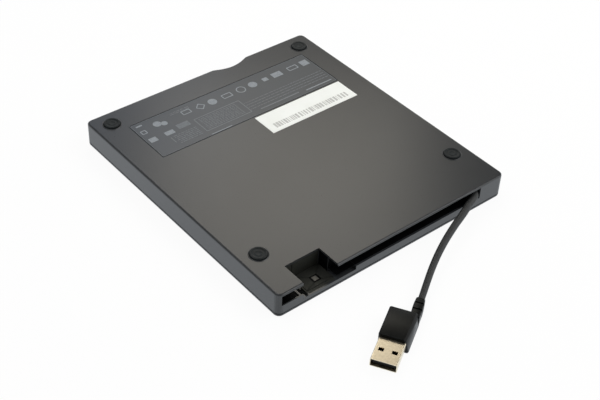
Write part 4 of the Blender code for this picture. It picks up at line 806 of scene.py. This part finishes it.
plugLook = {
    # station along the plug, then low and high Y, low and high Z, corner, outer corner and
    # draft of the outer side, in mm
    "body": [(-20.3, -6.6, 6.7, 0.5, 7.3, 0.5, 1.0, 0.4),
             (-20.1, -6.95, 6.95, 0.2, 7.6, 0.7, 1.3, 0.5),
             (-19.7, -7.2, 7.1, 0.0, 7.8, 0.8, 1.5, 0.5),
             (-10.0, -7.2, 7.1, 0.0, 7.8, 0.8, 1.3, 1.0),
             (-2.6, -7.2, 7.1, 0.0, 7.8, 0.8, 1.0, 1.6),
             (-2.0, -7.05, 6.95, 0.15, 7.65, 0.8, 0.9, 1.6),
             (-1.7, -6.7, 6.6, 0.5, 7.3, 0.6, 0.7, 1.5)],
    "boot": [(-31.9, 2.3, 6.1, 2.1, 5.7, 0.9, 0.9), (-31.7, 2.05, 6.35, 1.85, 5.95, 1.0, 1.0),
             (-28.5, 1.95, 6.8, 1.4, 6.4, 1.0, 1.0), (-28.3, 2.5, 6.3, 1.9, 5.9, 0.8, 0.8),
             (-27.7, 2.5, 6.3, 1.9, 5.9, 0.8, 0.8), (-27.5, 1.95, 6.9, 1.3, 6.5, 1.0, 1.0),
             (-24.1, 2.1, 7.1, 1.0, 6.8, 1.0, 1.0), (-23.9, 2.6, 6.6, 1.6, 6.2, 0.8, 0.8),
             (-23.2, 2.6, 6.6, 1.6, 6.2, 0.8, 0.8), (-23.0, 2.2, 7.1, 0.9, 6.9, 1.0, 1.0),
             (-19.0, 2.5, 7.05, 0.8, 7.0, 1.0, 1.2)],
    "chamferFlatness": 0.85,
    "shellMiddle": (-0.5, 3.9),
    "shellHalf": (6.1, 2.25),
    "shellCorner": 0.55,
    "shellReach": (-3.0, 4.3, 6.3, 12.0),
    "holeSpan": (1.85, 4.35),
    "shellWall": 0.32 * mm,
    "tongue": [(-2.0, -6.0, 5.0, 2.3, 4.1, 0.1, 0.1), (10.2, -6.0, 5.0, 2.3, 4.1, 0.1, 0.1),
               (10.4, -5.9, 4.9, 2.4, 3.9, 0.1, 0.1)],
    "contactCount": 4,
    "contactPitch": 2.3 * mm,
    "contactWidth": 1.0 * mm,
    "contactReach": (2.0 * mm, 9.8 * mm),
    "contactBase": 4.10 * mm,
    "contactThick": 0.12 * mm,
    "contactCorner": 0.2 * mm,
}


def sectionOutline(y0, y1, z0, z1, corner, outer, draft=0.0, flatness=0.0, steps=5):
    # Rounded box section in YZ; its upper outer corner has its own radius, is set in by the
    # draft and can be flattened towards a chamfer.
    outline = []
    corners = ((y1 - draft, z1, 1, 1, 0, outer), (y0, z1, -1, 1, 90, corner),
               (y0, z0, -1, -1, 180, corner), (y1, z0, 1, -1, 270, corner))
    for y, z, sy, sz, start, radius in corners:
        for step in range(steps + 1):
            angle = math.radians(start + 90 * step / steps)
            reach = radius
            if start == 0:
                chord = math.cos(math.pi / 4) / math.cos(angle - math.pi / 4)
                reach = radius * (1 + (chord - 1) * flatness)
            outline.append((y - sy * radius + reach * math.cos(angle),
                            z - sz * radius + reach * math.sin(angle)))
    return outline


def loft(bm, stations, flatness=0.0):
    rings = []
    for x, *section in stations:
        rings.append([bm.verts.new((x * mm, y * mm, z * mm))
                      for y, z in sectionOutline(*section, flatness=flatness)])
    for a, b in zip(rings, rings[1:]):
        for i in range(len(a)):
            k = (i + 1) % len(a)
            bm.faces.new((a[i], a[k], b[k], b[i]))
    bm.faces.new(rings[0])
    bm.faces.new(rings[-1])


def plugPiece(name, bm, slot, replaced, smoothAngle=32):
    mesh = meshFrom(name, bm, smoothAngle)
    mesh.transform(plugFrame)
    return addPiece(name, mesh, "housing", slot, replaced)


def makeShell(look):
    # Folded sheet: one open tube with its two latch windows left out of the upper side.
    y, z = look["shellMiddle"]
    halfY, halfZ = look["shellHalf"]
    near, far = look["holeSpan"]
    outline = sectionOutline(y - halfY, y + halfY, z - halfZ, z + halfZ, look["shellCorner"],
                             look["shellCorner"])
    # The windows' corners follow the first corner's points, so their faces are these two.
    start = len(outline) // 4
    windows = (start, start + 2)
    top = outline[:start] + [(y + far, z + halfZ), (y + near, z + halfZ), (y - near, z + halfZ),
                             (y - far, z + halfZ)] + outline[start:]
    bm = bmesh.new()
    rings = [[bm.verts.new((x * mm, py * mm, pz * mm)) for py, pz in top]
             for x in look["shellReach"]]
    for station, (a, b) in enumerate(zip(rings, rings[1:])):
        for i in range(len(a)):
            if station == 1 and i in windows:
                continue
            k = (i + 1) % len(a)
            bm.faces.new((a[i], a[k], b[k], b[i]))
    piece = plugPiece("plugShell", bm, "shell_nickel", ["plug_shell"], None)
    wall = piece.modifiers.new("wall", "SOLIDIFY")
    wall.thickness = look["shellWall"]
    wall.offset = -1.0
    return piece


def plateGold(name, look):
    # Thin gold over nickel: warm and smooth, a little dull where it has been rubbed.
    finish, tree, shader, place = newFinish(name)
    rub = addNode(tree, "ShaderNodeTexNoise", {"Scale": 1 / look["rub"]}, {"Vector": place})
    setShader(shader, {"Metallic": 1.0})
    colourSpread(tree, shader, rub.outputs["Fac"], *look["colours"])
    roughnessSpread(tree, shader, rub.outputs["Fac"], *look["roughness"])
    return finish


def makePlug(look):
    body = bmesh.new()
    loft(body, look["body"], look["chamferFlatness"])
    loft(body, look["boot"])
    tongue = bmesh.new()
    loft(tongue, look["tongue"])
    contacts = bmesh.new()
    x0, x1 = look["contactReach"]
    for i in range(look["contactCount"]):
        y = (i - (look["contactCount"] - 1) / 2) * look["contactPitch"]
        y += look["shellMiddle"][0] * mm
        outline = roundedOutline(((x0 + x1) / 2, y), (x1 - x0, look["contactWidth"]),
                                 look["contactCorner"])
        prism(contacts, outline, look["contactBase"], look["contactBase"] + look["contactThick"])
    pieces = [plugPiece("plugMoulding", body, "plug_rubber", ["plug_body"]), makeShell(look),
              plugPiece("plugTongue", tongue, "connector_nylon", ["plug_tongue"]),
              plugPiece("plugContacts", contacts, None, ())]
    pieces[-1].data.materials.append(plateGold("goldFlashedContact", {
        "colours": ("#c9a04c", "#dcb765"), "rub": 1.5 * mm, "roughness": (0.18, 0.32)}))
    return pieces


plugPieces = makePlug(plugLook)
print("plug made")


cordLook = {
    "radius": 1.6 * mm,
    "startShare": 1.2,
    "route": [
        (-44.73 * mm, 82.92 * mm, 9.19 * mm),
        (-40.6 * mm, 84.95 * mm, 9.1 * mm),
        (-33.3 * mm, 87.75 * mm, 8.8 * mm),
        (-29.45 * mm, 89.15 * mm, 8.6 * mm),
        (-18.95 * mm, 93.5 * mm, 7.9 * mm),
        (-9.15 * mm, 98.2 * mm, 7.0 * mm),
        (-0.35 * mm, 103.1 * mm, 6.0 * mm),
        (7.9 * mm, 108.2 * mm, 4.9 * mm),
        (13.1 * mm, 111.5 * mm, 4.2 * mm),
    ],
    "bootEnd": (-30.6 * mm, 4.2 * mm, 3.9 * mm),
    "step": 3.0 * mm,
}


def makeCord(look):
    route = look["route"] + [tuple(plugFrame @ Vector(look["bootEnd"]))]
    points, length = smoothRoute(route, look["step"])
    curve = bpy.data.curves.new("usbCord", "CURVE")
    curve.dimensions = "3D"
    curve.bevel_depth = look["radius"]
    curve.bevel_resolution = 6
    curve.use_fill_caps = True
    line = curve.splines.new("POLY")
    line.points.add(len(points) - 1)
    for i, (point, place) in enumerate(zip(line.points, points)):
        point.co = (*place, 1.0)
        point.radius = look["startShare"] + (1 - look["startShare"]) * i / (len(points) - 1)
    line.use_smooth = True
    cord = addPiece("usbCord", curve, "housing", "cord_rubber", ["usb_cord"])
    return length


print("cord length in mm:", round(makeCord(cordLook) / mm, 1))


# Gland: flange and neck held in the case, and a sleeve that bends out and tapers onto the cord

glandLook = {
    "route": [
        (-58.9 * mm, 76.5 * mm, 9.4 * mm),
        (-56.3 * mm, 76.5 * mm, 9.4 * mm),
        (-54.4 * mm, 77.2 * mm, 9.4 * mm),
        (-53.3 * mm, 78.7 * mm, 9.4 * mm),
        (-51.9 * mm, 80.2 * mm, 9.4 * mm),
        (-49.4 * mm, 81.4 * mm, 9.35 * mm),
        (-45.9 * mm, 82.6 * mm, 9.25 * mm),
        (-44.8 * mm, 82.9 * mm, 9.2 * mm),
    ],
    "radius": 2.0 * mm,
    "tipRadius": 1.94 * mm,
    "endRadius": 1.94 * 0.97 * mm,
    "step": 0.5 * mm,
    "sides": 40,
    "flange": ((-59.3, -57.8), (73.5, 79.5), (6.4, 12.4)),
    "flangeRound": 0.5 * mm,
}


def makeGland(look):
    bm = bmesh.new()
    points = smoothRoute(look["route"], look["step"])[0]
    count = len(points) - 1
    taper = look["tipRadius"] - look["radius"]
    radii = [look["radius"] + taper * i / count for i in range(count)]
    sweptTube(bm, points, radii + [look["endRadius"]], look["sides"])
    (x0, x1), (y0, y1), (z0, z1) = look["flange"]
    flange = bmesh.new()
    prism(flange, [(y0 * mm, z0 * mm), (y1 * mm, z0 * mm), (y1 * mm, z1 * mm), (y0 * mm, z1 * mm)],
          x0 * mm, x1 * mm)
    bmesh.ops.bevel(flange, geom=flange.edges, offset=look["flangeRound"] / 2, segments=3,
                    profile=0.5, affect="EDGES")
    bmesh.ops.transform(flange, verts=flange.verts,
                        matrix=Matrix(((0, 0, 1, 0), (1, 0, 0, 0), (0, 1, 0, 0), (0, 0, 0, 1))))
    holder = bpy.data.meshes.new("flange")
    flange.to_mesh(holder)
    flange.free()
    bm.from_mesh(holder)
    addPiece("cordSleeve", meshFrom("cordSleeve", bm, 40), "housing", "cord_rubber", ["cord_gland"])


makeGland(glandLook)
print("sleeve made")


# Stage: pale floor, white backdrop seen by the camera and by reflections, soft lamps

stageLook = {
    "floorSize": 6.0,
    "floorDrop": 0.05 * mm,
    "floorColour": "#f4f4f3",
    "mirrorTint": "#f3f8fd",
    "mirrorLevel": 1.2,
    "floorWhite": 0.93,
    "worldLevel": 0.45,
    "backdropTop": 0.25,
    "roomStart": 0.45,
    "roomLevel": 0.12,
}


def makeStage(look):
    bpy.context.scene.view_settings.view_transform = "Standard"
    bm = bmesh.new()
    bmesh.ops.create_grid(bm, x_segments=2, y_segments=2, size=look["floorSize"])
    floor = bpy.data.objects.new("floor", meshFrom("floor", bm))
    floor.location.z = -look["floorDrop"]
    bpy.context.scene.collection.objects.link(floor)
    finish, tree, shader, place = newFinish("paperSweep")
    setShader(shader, {"Base Color": hexToLinear(look["floorColour"]), "Roughness": 0.9,
                       "Specular IOR Level": 0.0})
    path = addNode(tree, "ShaderNodeLightPath")
    tint = addNode(tree, "ShaderNodeMix", {"data_type": "RGBA", 6: hexToLinear(look["mirrorTint"]),
                                           7: (1.0, 1.0, 1.0, 1.0)},
                   {0: path.outputs["Is Camera Ray"]})
    level = addNode(tree, "ShaderNodeMix", {2: look["mirrorLevel"], 3: 1.0},
                    {0: path.outputs["Is Camera Ray"]})
    glow = addNode(tree, "ShaderNodeEmission", None,
                   {"Color": tint.outputs[2], "Strength": level.outputs[0]})
    seen = addNode(tree, "ShaderNodeMath", {"operation": "MAXIMUM"},
                   {0: path.outputs["Is Camera Ray"], 1: path.outputs["Is Glossy Ray"]})
    share = addNode(tree, "ShaderNodeMath", {"operation": "MULTIPLY", 1: look["floorWhite"]},
                    {0: seen.outputs[0]})
    mixed = addNode(tree, "ShaderNodeMixShader", None,
                    {0: share.outputs[0], 1: shader.outputs[0], 2: glow.outputs[0]})
    tree.links.new(mixed.outputs[0], tree.nodes["Material Output"].inputs["Surface"])
    floor.data.materials.append(finish)

    world = bpy.data.worlds.new("whiteStudio")
    world.use_nodes = True
    bpy.context.scene.world = world
    tree = world.node_tree
    tree.nodes.clear()
    place = addNode(tree, "ShaderNodeTexCoord")
    height = addNode(tree, "ShaderNodeSeparateXYZ", None, {0: place.outputs["Generated"]})
    # The backdrop is white up to a little above the horizon, and the room above it is dim.
    room = addNode(tree, "ShaderNodeMapRange",
                   {"From Min": look["backdropTop"], "From Max": look["roomStart"],
                    "To Min": 1.0, "To Max": look["roomLevel"]},
                   {"Value": height.outputs["Z"]})
    path = addNode(tree, "ShaderNodeLightPath")
    mirrored = addNode(tree, "ShaderNodeMath", {"operation": "MAXIMUM"},
                       {0: path.outputs["Is Glossy Ray"], 1: path.outputs["Is Transmission Ray"]})
    level = addNode(tree, "ShaderNodeMix", {2: look["worldLevel"]},
                    {0: mirrored.outputs[0], 3: room.outputs["Result"]})
    level = addNode(tree, "ShaderNodeMix", {3: 1.0},
                    {0: path.outputs["Is Camera Ray"], 2: level.outputs[0]})
    sky = addNode(tree, "ShaderNodeBackground", {"Color": (1.0, 1.0, 1.0, 1.0)},
                  {"Strength": level.outputs[0]})
    output = addNode(tree, "ShaderNodeOutputWorld")
    tree.links.new(sky.outputs[0], output.inputs["Surface"])


lampLooks = {
    # The soft box that the plate mirrors towards the camera, and the lamp that lights the cord.
    "mirrorSoftbox": {"place": (-0.307, -0.366, 0.475), "size": (0.29, 0.28), "power": 0.7,
                      "colour": "#fff8ea"},
    "farSoftbox": {"place": (-0.30, -0.74, 0.50), "size": (0.36, 0.22), "power": 0.25,
                   "colour": "#d6e4ff"},
    "sideSoftbox": {"place": (-0.75, 0.66, 0.95), "size": (1.2, 0.9), "power": 8.5,
                    "colour": "#ffffff"},
    "overheadSoftbox": {"place": (0.35, -0.35, 1.3), "size": (0.9, 0.9), "power": 4.7,
                        "colour": "#ffffff"},
}


def makeLamp(name, look):
    data = bpy.data.lights.new(name, "AREA")
    data.shape = "RECTANGLE"
    data.size, data.size_y = look["size"]
    data.energy = look["power"]
    data.color = hexToLinear(look["colour"])[:3]
    lamp = bpy.data.objects.new(name, data)
    lamp.location = look["place"]
    lamp.rotation_mode = "QUATERNION"
    lamp.rotation_quaternion = Vector(look["place"]).to_track_quat("Z", "Y")
    bpy.context.scene.collection.objects.link(lamp)


makeStage(stageLook)
for lampName, lampLook in lampLooks.items():
    makeLamp(lampName, lampLook)
print("stage and lamps ready")
